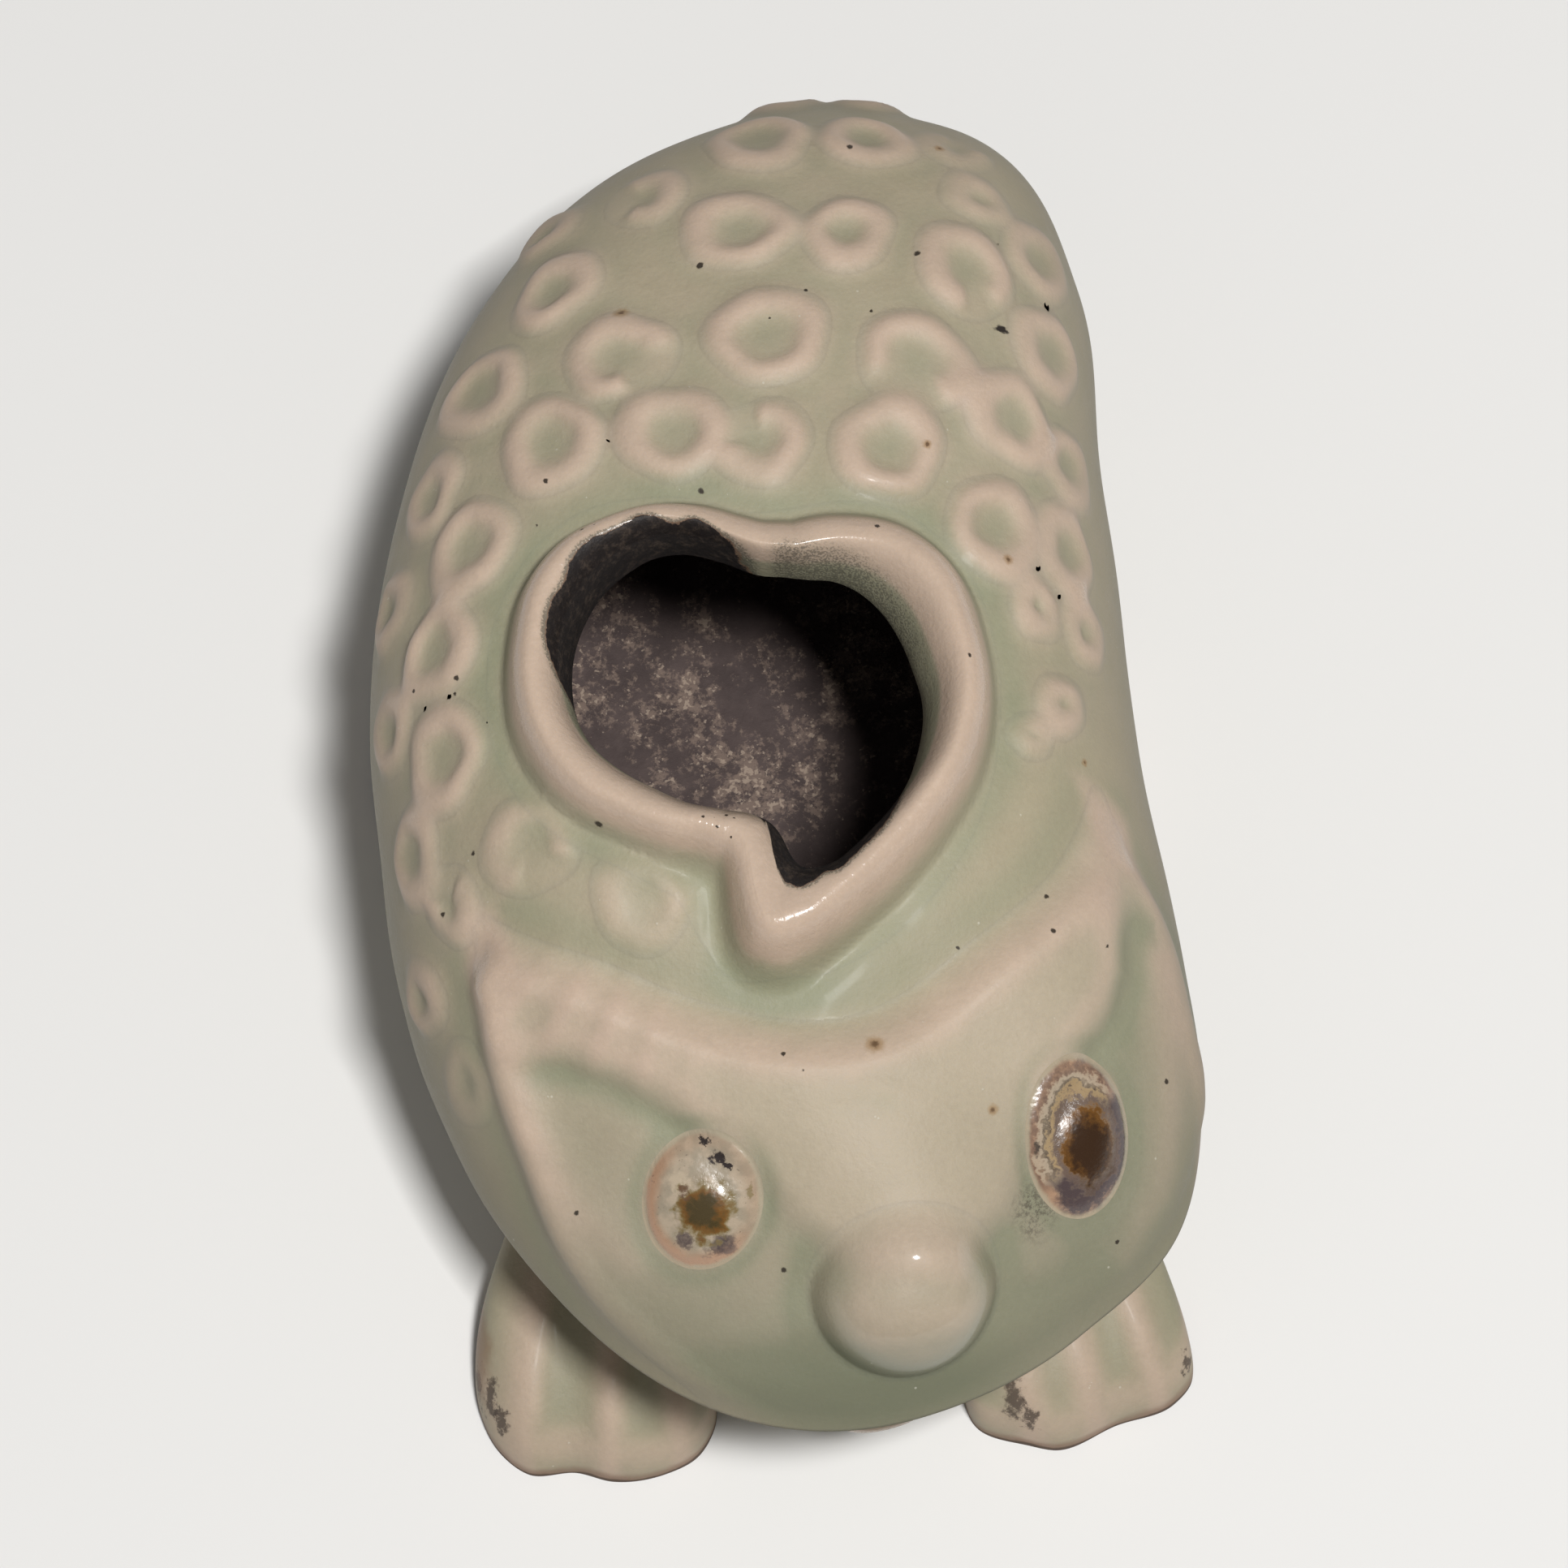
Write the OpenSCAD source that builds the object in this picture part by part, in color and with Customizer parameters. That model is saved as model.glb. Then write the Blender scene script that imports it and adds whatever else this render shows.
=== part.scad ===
// Toad-shaped calligraphy water dropper in glazed stoneware, in millimetres.
// The origin is on the table, under the middle of the filling mouth. The head faces -Y.

/* [Body] */
// Length of the body from the lip to the rump
body_l = 86.6; // [78:0.2:96]
// Width of the body across the girth
body_w = 50.8; // [46:0.2:56]
// Height of the back round the filling mouth
back_h = 37; // [34:0.5:42]
// Height of the girth seam above the table
girth_h = 16.5; // [15:0.5:18]
// Thickness of the clay wall
wall_t = 3; // [2:0.1:4]
// Thickness of the floor slab
floor_t = 3; // [2:0.1:4.5]
// How far the wall draws in from the girth down to the table
foot_inset = 5; // [3:0.25:6]
// How far the chest draws in from under the head down to the table
chest_inset = 8; // [5:0.25:9]

/* [Head] */
// Height of the upper lip above the table
lip_h = 19.5; // [18.5:0.25:22]
// How far the upper lip stands out over the chest
lip_over = 6; // [4:0.25:7]
// Thickness of the face plate on the body
plate_t = 1.2; // [0.8:0.1:2]
// Depth of the hollows at the cheeks
cheek_dip = 0.6; // [0:0.1:0.7]
// Radius of the nose knob
nose_r = 5.4; // [4:0.2:6.4]
// How far the nose knob stands out from the face
nose_h = 4.6; // [3:0.2:6]
// How far the eyes stand out from the face
eye_h = 1.3; // [0.8:0.1:2]
// How far the iron spots stand out from the eyes
pupil_h = 0.4; // [0.3:0.1:0.8]
// Width of the eyes
eye_w = 6.7; // [5.6:0.1:7.4]
// Length of the left eye
left_eye_l = 8.2; // [7:0.2:9.2]
// Length of the right eye
right_eye_l = 9.4; // [8:0.2:10]
// Distance from the middle of the filling mouth to the crown edge of the face plate
crown_gap = 20; // [18.5:0.25:22]

/* [Filling mouth] */
// Mean radius of the filling mouth
mouth_r = 10; // [8.5:0.25:11]
// Height of the clay coil round the filling mouth
rim_h = 1.9; // [1.2:0.1:2.6]
// Width of the clay coil that lies on the back
rim_w = 3.2; // [2.6:0.1:4]

/* [Mouth and spout] */
// Gap between the upper lip and the lower jaw
mouth_gap = 1.2; // [0.8:0.1:2]
// Height of the lower jaw
jaw_height = 7; // [5:0.25:8]
// Height of the lower jaw where it runs out into the cheeks
jaw_end_h = 1.5; // [1:0.1:2.5]
// How far the lower jaw stands out from the chest
jaw_out = 4; // [2.5:0.25:4.5]
// Radius of the pouring hole
spout_bore_r = 1.5; // [1:0.1:1.8]
// Wall of the spout tube
spout_wall = 1.1; // [0.9:0.1:1.4]
// How far the spout tube stands out from the lower jaw
spout_tip = 0.8; // [0.3:0.1:1.5]
// How far the spout tube reaches into the water chamber
spout_in = 0.6; // [0.3:0.1:1.5]
// Gap round the spout tube in the clay that holds it
spout_fit = 0.05; // [0.02:0.01:0.15]

/* [Feet] */
// Height of the forepaws where they leave the chest
paw_h = 9; // [6:0.5:10]
// Height of the toes at the front of a foot
toe_h = 4; // [2.4:0.2:4.6]
// How far the toes of the left forepaw stand ahead of the chest
left_paw_out = 5.2; // [3:0.2:7]
// How far the toes of the right forepaw stand ahead of the chest
right_paw_out = 7.6; // [6:0.2:10]
// How far the outer toes of a forepaw stand back
paw_corner = 3.2; // [2:0.2:4]
// How far the toes of the hind feet stand out from the wall over them
hind_out = 1.6; // [1.4:0.1:2.2]
// Height of the hind feet
hind_h = 8; // [5:0.25:9]
// How far the outer toes of a hind foot stand back
hind_corner = 0.8; // [0.4:0.1:1.2]
// Depth of the grooves between the toes
toe_groove = 0.7; // [0.4:0.1:1]
// Depth of the notches between the fronts of the toes
toe_notch = 0.7; // [0.4:0.1:1]

/* [Warts] */
// Outer radius of the usual wart ring
wart_r = 3; // [2.6:0.1:3.2]
// Height of the wart rings above the skin
wart_h = 0.8; // [0.4:0.1:1.2]
// Width of the ridge of a wart ring
wart_ridge = 1.9; // [1.4:0.1:2.2]

/* [Hidden] */

glaze = [0.66, 0.70, 0.58];
pale_glaze = [0.76, 0.72, 0.62];
bare_clay = [0.33, 0.29, 0.28];
iron_rim = [0.66, 0.50, 0.38];
iron_brown = [0.25, 0.13, 0.05];

// Azimuth is 0 at the head, 90 on the side of the right eye and 180 at the rump
steps = 72;
rows = 9;
// Thickness that pieces of clay are worn down to where they run out on the skin
thin_edge = 0.3;

// Girth outline as [azimuth, share of the ellipse of body_w and body_l]
girth_plan = [
    [0, 0.92], [15, 1.005], [30, 1.12], [43, 1.21], [54, 1.175], [67, 1.08],
    [83, 0.99], [102, 0.94], [120, 0.955], [136, 1.01], [148, 1.12], [157, 1.17],
    [168, 1.105], [182, 1.025], [204, 0.99], [222, 0.97], [240, 0.945], [262, 0.92],
    [280, 0.893], [302, 0.88], [326, 0.868], [342, 0.868]
];

// Edge of the filling mouth as [azimuth, share of mouth_r], with a lobe each side of two cusps
mouth_plan = [
    [0, 0.76], [9, 0.82], [16, 1], [22, 1.12], [33, 1.13], [58, 1.07], [84, 1.06],
    [114, 1], [134, 0.94], [152, 0.82], [172, 0.76], [188, 0.92], [208, 1.23], [225, 1.2],
    [242, 1.18], [262, 1.07], [288, 0.96], [317, 0.84], [345, 0.75]
];

// Middle and spread of the part of the body that the head shapes
head_az = 16;
head_core = 15;
head_spread = 85;
// Middle and spread of the overhanging lip
lip_az = 12;
lip_core = 25;
lip_spread = 72;
// Roundness of the back, and of the face from crown to lip
back_round = 2.4;
face_round = 1.6;
face_slope = 1.15;
wall_round = 2.2;

// Borders of the face plate from its left corner to its right one, the crown edge in shares of
// crown_gap and the cheek and lip edge in shares of the reach
plate_from = -52;
plate_to = 81;
crown_plan = [[-52, 0.975], [-27, 0.88], [-6, 0.91], [16, 0.98], [44, 0.965], [64, 1.02], [81, 1.04]];
cheek_plan = [
    [-52, 0.8], [-37, 0.86], [-27, 0.9], [-19, 0.945], [-8, 0.98], [2, 1],
    [50, 1], [57, 0.97], [68, 0.93], [73, 0.88], [81, 0.84]
];

// Places on the face as [azimuth, share of the reach], and ovals as half width, half length and turn
nose_at = [15, 0.82];
left_eye_at = [-5, 0.735];
right_eye_at = [38.5, 0.79];
left_eye_size = [eye_w / 2, left_eye_l / 2, -14];
right_eye_size = [eye_w / 2, right_eye_l / 2, 8];
left_pupil_size = [left_eye_size.x * 0.51, left_eye_size.y * 0.44, 0];
right_pupil_size = [right_eye_size.x * 0.62, right_eye_size.y * 0.62, 8];

// Middle and half width of each foot, in degrees of azimuth, with its toes
left_paw_az = [-17, 14];
right_paw_az = [33, 12];
left_hind_az = [-116, 18];
right_hind_az = [112, 18];
toes = 3;

// Warts as [azimuth, share of the reach, share of wart_r, first angle, sweep]
rump_rings = [
    [179, 0.88, 1, 0, 360], [169.5, 0.87, 0.83, 0, 360], [162, 0.9, 0.5, 0, 360],
    [158, 0.84, 0.67, 120, 240], [176, 0.985, 0.77, 0, 360], [171, 0.98, 0.7, 0, 360],
    [-170, 0.84, 0.73, 60, 250]
];
back_rings = [
    [-145, 0.62, 1, 0, 360], [-165, 0.43, 0.93, 0, 360], [177, 0.35, 0.87, 150, 250],
    [152, 0.43, 1, 0, 360], [141, 0.73, 0.93, 0, 360], [-161, 0.61, 0.9, 40, 270],
    [177, 0.52, 1.1, 0, 360], [155, 0.56, 1, 30, 230], [-158, 0.81, 0.9, 0, 360],
    [-179, 0.71, 1.03, 0, 360], [169, 0.69, 0.8, 0, 360], [156, 0.73, 1, 0, 360],
    [144, 0.86, 0.9, 0, 360]
];
left_flank_rings = [
    [-144, 0.85, 1, 0, 360], [-123, 0.74, 0.93, 0, 360], [-130, 0.89, 0.87, 0, 360],
    [-104, 0.79, 0.9, 0, 360], [-113, 0.93, 0.8, 0, 360], [-83, 0.79, 0.97, 0, 360],
    [-93, 0.93, 0.87, 0, 360], [-70, 0.91, 0.9, 0, 360], [-56, 0.62, 0.8, 0, 360],
    [-27, 0.43, 0.73, 0, 360], [-58, 0.86, 0.67, 140, 240], [-52, 0.96, 0.77, 0, 360]
];
right_flank_rings = [
    [128, 0.66, 0.93, 0, 360], [121, 0.84, 0.9, 0, 360], [112, 0.74, 0.57, 0, 360],
    [93, 0.77, 0.57, 0, 360], [85, 0.64, 0.43, 0, 360], [108, 0.86, 0.67, 0, 360],
    [132, 0.86, 0.8, 0, 360]
];

function mix(from, to, t) = from + (to - from) * t;
function ease(t) = let (u = min(max(t, 0), 1)) u * u * (3 - 2 * u);
function turn(d) = d - 360 * floor(d / 360);
function away(a, b) = abs(turn(a - b + 180) - 180);
function unit(v) = v / norm(v);

// Slope of a closed plan curve at its point i
function knot_slope(p, i) =
    let (n = len(p))
    let (before = p[(i + n - 1) % n])
    let (here = p[i])
    let (after = p[(i + 1) % n])
    let (gap_in = turn(here.x - before.x))
    let (gap_out = turn(after.x - here.x))
    let (rise_in = (here.y - before.y) / gap_in)
    let (rise_out = (after.y - here.y) / gap_out)
    (rise_in * gap_out + rise_out * gap_in) / (gap_in + gap_out);

// Value at azimuth a of the smooth closed curve through the points p
function around(p, a) =
    let (n = len(p))
    let (i = [for (k = [0 : n - 1]) if (turn(a - p[k].x) < turn(p[(k + 1) % n].x - p[k].x)) k][0])
    let (j = (i + 1) % n)
    let (gap = turn(p[j].x - p[i].x))
    let (t = turn(a - p[i].x) / gap)
    let (t2 = t * t)
    let (t3 = t2 * t)
    (2 * t3 - 3 * t2 + 1) * p[i].y + (t3 - 2 * t2 + t) * gap * knot_slope(p, i)
    + (3 * t2 - 2 * t3) * p[j].y + (t3 - t2) * gap * knot_slope(p, j);

// Outlines and heights of the body at azimuth a
function headness(a) = ease((head_spread - away(a, head_az)) / (head_spread - head_core));
function lipness(a) = ease((lip_spread - away(a, lip_az)) / (lip_spread - lip_core));
function reach(a) = around(girth_plan, a) / norm([sin(a) / (body_w / 2), cos(a) / (body_l / 2)]);
function edge_h(a) = mix(girth_h, lip_h, headness(a));
function out_round(a) = mix(back_round, face_round, headness(a));
function down_round(a) = mix(back_round, face_slope, headness(a));
function wall_reach(a) = reach(a) - lip_over * lipness(a);
function inset(a) = mix(foot_inset, chest_inset, headness(a));
function wall_r(a, h) = wall_reach(a) - inset(a) * pow(max(1 - h / edge_h(a), 0), wall_round);
function chamber_r(a) = wall_reach(a) - wall_t;
function mouth_edge(a) = around(mouth_plan, a) * mouth_r;

// Reach of the chest from the middle of the filling mouth
chest = wall_reach(lip_az);

function spot(a, r, h) = [r * sin(a), -r * cos(a), h];

// Skin of the body: sweep is 0 on the crown of the back, 90 at the girth or lip
function skin(a, sweep) =
    let (r = reach(a) * pow(sin(sweep), 2 / out_round(a)))
    let (h = edge_h(a) + (back_h - edge_h(a)) * pow(max(cos(sweep), 0), 2 / down_round(a)))
    spot(a, r, h);
function sweep_at(a, r) = asin(min(pow(r / reach(a), out_round(a) / 2), 1));
function skin_r(a, r) = skin(a, sweep_at(a, r));

// Skin that warts lie on, carried on over the girth down the wall
function hide(a, sweep) =
    sweep <= 90 ? skin(a, sweep)
    : let (h = edge_h(a) * (1 - (sweep - 90) / 90)) spot(a, wall_r(a, h), h);
function hide_normal(a, sweep) =
    let (along = hide(a + 1, sweep) - hide(a - 1, sweep))
    let (down = hide(a, sweep + 1) - hide(a, sweep - 1))
    unit(cross(down, along));

// Roof of the water chamber
function roof(a, sweep) =
    let (r = chamber_r(a) * pow(sin(sweep), 2 / out_round(a)))
    let (room = back_h - wall_t - edge_h(a))
    spot(a, r, edge_h(a) + room * pow(max(cos(sweep), 0), 2 / down_round(a)));
function roof_sweep_at(a, r) = asin(min(pow(r / chamber_r(a), out_round(a) / 2), 1));

// Face plate: v runs from the crown border, 0, to the cheek and lip border, 1
function crown_r(a) = around(crown_plan, a) * crown_gap;
function cheek_r(a) = max(around(cheek_plan, a) * reach(a), crown_r(a) + 0.5);
function plate_place(a, v) = skin_r(a, mix(crown_r(a), cheek_r(a), v));
function cheek_hollow(a, v) =
    let (side = ease((away(a, nose_at.x) - 12) / 12))
    side * ease((v - 0.25) / 0.3) * ease((0.97 - v) / 0.25);
function plate_lift(a, v) =
    let (rounded = 0.35 + 0.65 * ease(min(v, 1 - v) / 0.12))
    plate_t * rounded - cheek_dip * cheek_hollow(a, v);
function face_v(a, r) = (r - crown_r(a)) / (cheek_r(a) - crown_r(a));
function face(a, r) = skin_r(a, r) + [0, 0, plate_lift(a, min(max(face_v(a, r), 0), 1))];
function face_at(x, y) = face(atan2(x, -y), norm([x, y]));
function face_normal(x, y) =
    unit(cross(face_at(x + 1, y) - face_at(x - 1, y), face_at(x, y + 1) - face_at(x, y - 1)));

// Solid between two grids of points of one size, grid[i][j]
module between(top, bottom, closed) {
    n = len(top);
    m = len(top[0]);
    last = closed ? n - 1 : n - 2;
    points = [for (row = top) each row, for (row = bottom) each row];
    function at(i, j, low) = (low ? n * m : 0) + (i % n) * m + j;
    skins = [for (i = [0 : last], j = [0 : m - 2]) each [
        [at(i, j, false), at(i, j + 1, false), at(i + 1, j + 1, false)],
        [at(i, j, false), at(i + 1, j + 1, false), at(i + 1, j, false)],
        [at(i, j, true), at(i + 1, j + 1, true), at(i, j + 1, true)],
        [at(i, j, true), at(i + 1, j, true), at(i + 1, j + 1, true)]
    ]];
    rims = [for (i = [0 : last]) each [
        [at(i, 0, false), at(i + 1, 0, false), at(i + 1, 0, true)],
        [at(i, 0, false), at(i + 1, 0, true), at(i, 0, true)],
        [at(i, m - 1, false), at(i + 1, m - 1, true), at(i + 1, m - 1, false)],
        [at(i, m - 1, false), at(i, m - 1, true), at(i + 1, m - 1, true)]
    ]];
    ends = closed ? [] : [for (j = [0 : m - 2]) each [
        [at(0, j, false), at(0, j + 1, true), at(0, j + 1, false)],
        [at(0, j, false), at(0, j, true), at(0, j + 1, true)],
        [at(n - 1, j, false), at(n - 1, j + 1, false), at(n - 1, j + 1, true)],
        [at(n - 1, j, false), at(n - 1, j + 1, true), at(n - 1, j, true)]
    ]];
    polyhedron(points, concat(skins, rims, ends), convexity = 6);
}

// Solid along a row of closed sections of one size, section[i][j]
module swept(sections, closed) {
    n = len(sections);
    m = len(sections[0]);
    last = closed ? n - 1 : n - 2;
    points = [for (loop = sections) each loop];
    function at(i, j) = (i % n) * m + j % m;
    sides = [for (i = [0 : last], j = [0 : m - 1]) each [
        [at(i, j), at(i, j + 1), at(i + 1, j + 1)],
        [at(i, j), at(i + 1, j + 1), at(i + 1, j)]
    ]];
    ends = closed ? [] : [
        [for (j = [m - 1 : -1 : 0]) at(0, j)],
        [for (j = [0 : m - 1]) at(n - 1, j)]
    ];
    polyhedron(points, concat(sides, ends), convexity = 6);
}

// Height of an oval dome at the plan offset p from its middle, on ground of the given steepness
function dome(size, high, steep, p) =
    let (q = [p.x, p.y / steep])
    let (u = (q.x * cos(size.z) + q.y * sin(size.z)) / size.x)
    let (v = (q.y * cos(size.z) - q.x * sin(size.z)) / size.y)
    high * pow(max(1 - pow(norm([u, v]), 2.6), 0), 0.6);

// Oval of clay pressed on the face at [azimuth, share of the reach], or on a wider oval there
module button(place, size, high, wider = [1, 1, 0], wider_high = 0) {
    sectors = 20;
    rings = 4;
    r = place.y * reach(place.x);
    mid = spot(place.x, r, 0);
    lift = face_normal(mid.x, mid.y);
    function seat(x, y) =
        face_at(x, y) + lift * dome(wider, wider_high, lift.z, [x - mid.x, y - mid.y]);
    function over(d) = high * pow(max(1 - pow(d, 2.6), 0), 0.6);
    function shift(k, d) =
        let (u = size.x * d * cos(k * 360 / sectors))
        let (v = size.y * d * sin(k * 360 / sectors))
        [u * cos(size.z) - v * sin(size.z), (u * sin(size.z) + v * cos(size.z)) * lift.z];
    flat = [for (i = [1 : rings], k = [0 : sectors - 1]) concat(shift(k, i / rings), [i / rings])];
    bottom = [seat(mid.x, mid.y), for (p = flat) seat(mid.x + p.x, mid.y + p.y)];
    top = [
        seat(mid.x, mid.y) + lift * over(0),
        for (p = flat) seat(mid.x + p.x, mid.y + p.y) + lift * max(over(p.z), thin_edge * 0.4)
    ];
    count = len(top);
    function at(i, k) = i == 0 ? 0 : 1 + (i - 1) * sectors + k % sectors;
    caps = [for (i = [0 : rings - 1], k = [0 : sectors - 1]) each i == 0 ? [
        [at(0, k), at(1, k + 1), at(1, k)],
        [count + at(0, k), count + at(1, k), count + at(1, k + 1)]
    ] : [
        [at(i, k), at(i + 1, k + 1), at(i + 1, k)],
        [at(i, k), at(i, k + 1), at(i + 1, k + 1)],
        [count + at(i, k), count + at(i + 1, k), count + at(i + 1, k + 1)],
        [count + at(i, k), count + at(i + 1, k + 1), count + at(i, k + 1)]
    ]];
    edge = [for (k = [0 : sectors - 1]) each [
        [at(rings, k), at(rings, k + 1), count + at(rings, k + 1)],
        [at(rings, k), count + at(rings, k + 1), count + at(rings, k)]
    ]];
    polyhedron(concat(top, bottom), concat(caps, edge), convexity = 4);
}

// One raised wart ring on the hide, whole or open
module wart(place, radius, first, sweep) {
    whole = sweep >= 360;
    n = whole ? 13 : 10;
    a = place.x;
    s = sweep_at(a, place.y * reach(a));
    along = (hide(a + 1, s) - hide(a - 1, s)) / 2;
    down = (hide(a, s + 1) - hide(a, s - 1)) / 2;
    level = unit(along);
    slope = unit(down - level * (down * level));
    function shift(t, q) =
        let (ds = q * sin(t) / (down * slope))
        [a + (q * cos(t) - ds * (down * level)) / norm(along), s + ds];
    function on(t, q) = let (p = shift(t, q)) hide(p.x, p.y);
    function normal(t, q) = let (p = shift(t, q)) hide_normal(p.x, p.y);
    crest = radius - wart_ridge / 2;
    sections = [for (i = [0 : whole ? n - 1 : n])
        let (t = first + sweep * i / n)
        [
            on(t, radius - wart_ridge),
            on(t, crest) + normal(t, crest) * wart_h,
            on(t, radius)
        ]
    ];
    swept(sections, whole);
}

module warts(rings) {
    for (w = rings) {
        wart([w[0], w[1]], w[2] * wart_r, w[3], w[4]);
    }
}

// Foot that grows out of the wall: spread is [azimuth, half width], in degrees.
// Its toes end at a reach from the middle, or where that is 0, at a stand-out from the wall.
module foot(spread, toe_reach, stand_out, corner, back_height) {
    n = 14;
    m = 5;
    function height(u, t) =
        let (plain = mix(back_height, toe_h, pow(t, 0.75)))
        plain * (1 - 0.35 * pow(abs(u), 6)) - toe_groove * t * (1 - cos(180 * toes * (u + 1))) / 2;
    function front(u, start) =
        (toe_reach > 0 ? toe_reach : start + stand_out)
        - corner * pow(abs(u), 3.2) - toe_notch / 2 * cos(180 * toes * (u + 1));
    sections = [for (i = [0 : n])
        let (u = -1 + 2 * i / n)
        let (a = spread.x + spread.y * u)
        let (h = height(u, 0))
        let (start = wall_r(a, h))
        [
            spot(a, wall_r(a, floor_t), 0),
            spot(a, wall_r(a, floor_t), floor_t),
            spot(a, wall_r(a, (h + floor_t) / 2), (h + floor_t) / 2),
            for (j = [0 : m]) spot(a, mix(start, front(u, start), j / m), height(u, j / m)),
            spot(a, front(u, start) + 0.2, toe_h * 0.4),
            spot(a, front(u, start) - 0.4, 0)
        ]
    ];
    swept(sections, false);
}

// Tube of the spout, pointing out of the chest under the nose, with its radius grown by extra
module spout_rod(radius) {
    jaw_mid = lip_h - mouth_gap - jaw_height / 2;
    inner = wall_r(lip_az, jaw_mid) - wall_t - spout_in;
    outer = wall_r(lip_az, jaw_mid) + jaw_out + spout_tip;
    translate(spot(lip_az, inner, jaw_mid)) {
        rotate([90, 0, lip_az]) {
            cylinder(r = radius, h = outer - inner, $fn = 48);
        }
    }
}

module base_slab() {
    color(bare_clay)
    linear_extrude(height = floor_t) {
        polygon([for (i = [0 : steps - 1])
            let (p = spot(i * 360 / steps, wall_r(i * 360 / steps, floor_t), 0))
            [p.x, p.y]
        ]);
    }
}

module belly_shell() {
    levels = 6;
    function height(a, j) = mix(edge_h(a), floor_t, j / levels);
    outside = [for (i = [0 : steps - 1])
        let (a = i * 360 / steps)
        [for (j = [0 : levels]) spot(a, wall_r(a, height(a, j)), height(a, j))]
    ];
    inside = [for (i = [0 : steps - 1])
        let (a = i * 360 / steps)
        [for (j = [0 : levels]) spot(a, wall_r(a, height(a, j)) - wall_t, height(a, j))]
    ];
    color(glaze)
    difference() {
        between(outside, inside, true);
        spout_rod(spout_bore_r + spout_wall + spout_fit);
    }
}

module back_shell() {
    outside = [for (i = [0 : steps - 1])
        let (a = i * 360 / steps)
        let (from = sweep_at(a, mouth_edge(a)))
        [for (j = [0 : rows]) skin(a, mix(from, 90, j / rows))]
    ];
    inside = [for (i = [0 : steps - 1])
        let (a = i * 360 / steps)
        let (from = roof_sweep_at(a, mouth_edge(a)))
        [for (j = [0 : rows]) roof(a, mix(from, 90, j / rows))]
    ];
    color(glaze)
    between(outside, inside, true);
}

module opening_rim() {
    turns = 96;
    columns = 6;
    function width(a) = rim_w * (1 + 0.25 * ease((40 - away(a, 2)) / 25));
    function bow(t) = thin_edge + (rim_h - thin_edge) * pow(sin(180 * min(max(t, 0), 1)), 0.7);
    ring = [for (i = [0 : turns - 1]) i * 360 / turns];
    under = [for (a = ring)
        [for (j = [0 : columns]) skin_r(a, mouth_edge(a) + width(a) * j / columns)]
    ];
    over = [for (a = ring)
        [for (j = [0 : columns])
            skin_r(a, mouth_edge(a) + width(a) * j / columns) + [0, 0, bow(j / columns)]
        ]
    ];
    color(pale_glaze)
    between(over, under, true);
}

module head_mask() {
    across = 34;
    down = 11;
    turns = [for (i = [0 : across]) mix(plate_from, plate_to, i / across)];
    under = [for (a = turns) [for (j = [0 : down]) plate_place(a, j / down)]];
    over = [for (a = turns)
        [for (j = [0 : down]) plate_place(a, j / down) + [0, 0, plate_lift(a, j / down)]]
    ];
    color(pale_glaze)
    between(over, under, false);
}

module lower_jaw() {
    n = 24;
    half = 46;
    top = lip_h - mouth_gap;
    sections = [for (i = [0 : n])
        let (u = -1 + 2 * i / n)
        let (a = lip_az + half * u)
        let (out = mix(jaw_out, thin_edge, pow(abs(u), 3)))
        let (crown = min(top, edge_h(a) - mouth_gap))
        let (low = mix(top - jaw_height, crown - jaw_end_h, pow(abs(u), 4)))
        [
            spot(a, wall_r(a, low), low),
            spot(a, wall_r(a, mix(low, crown, 0.35)), mix(low, crown, 0.35)),
            spot(a, wall_r(a, mix(low, crown, 0.7)), mix(low, crown, 0.7)),
            spot(a, wall_r(a, crown), crown),
            spot(a, wall_r(a, crown) + out * 0.7, crown - 0.2),
            spot(a, wall_r(a, crown) + out, mix(low, crown, 0.75)),
            spot(a, wall_r(a, mix(low, crown, 0.4)) + out * 0.9, mix(low, crown, 0.4)),
            spot(a, wall_r(a, low) + out * 0.3, low + thin_edge)
        ]
    ];
    color(glaze)
    difference() {
        swept(sections, false);
        spout_rod(spout_bore_r + spout_wall + spout_fit);
    }
}

module spout() {
    color(glaze)
    difference() {
        spout_rod(spout_bore_r + spout_wall);
        spout_rod(spout_bore_r);
    }
}

module nose_knob() {
    color(pale_glaze) button(nose_at, [nose_r, nose_r, 0], nose_h);
}

module left_eye() {
    color(iron_rim) button(left_eye_at, left_eye_size, eye_h);
}

module right_eye() {
    color(iron_rim) button(right_eye_at, right_eye_size, eye_h);
}

module left_pupil() {
    color(iron_brown) button(left_eye_at, left_pupil_size, pupil_h, left_eye_size, eye_h);
}

module right_pupil() {
    color(iron_brown) button(right_eye_at, right_pupil_size, pupil_h, right_eye_size, eye_h);
}

module left_forepaw() {
    color(glaze) foot(left_paw_az, chest + left_paw_out, 0, paw_corner, paw_h);
}

module right_forepaw() {
    color(glaze) foot(right_paw_az, chest + right_paw_out, 0, paw_corner, paw_h);
}

module left_hind_foot() {
    color(glaze) foot(left_hind_az, 0, hind_out, hind_corner, hind_h);
}

module right_hind_foot() {
    color(glaze) foot(right_hind_az, 0, hind_out, hind_corner, hind_h);
}

module rump_warts() {
    color(pale_glaze) warts(rump_rings);
}

module back_warts() {
    color(pale_glaze) warts(back_rings);
}

module left_flank_warts() {
    color(pale_glaze) warts(left_flank_rings);
}

module right_flank_warts() {
    color(pale_glaze) warts(right_flank_rings);
}

base_slab();
belly_shell();
back_shell();
opening_rim();
head_mask();
lower_jaw();
spout();
nose_knob();
left_eye();
right_eye();
left_pupil();
right_pupil();
left_forepaw();
right_forepaw();
left_hind_foot();
right_hind_foot();
rump_warts();
back_warts();
left_flank_warts();
right_flank_warts();
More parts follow.
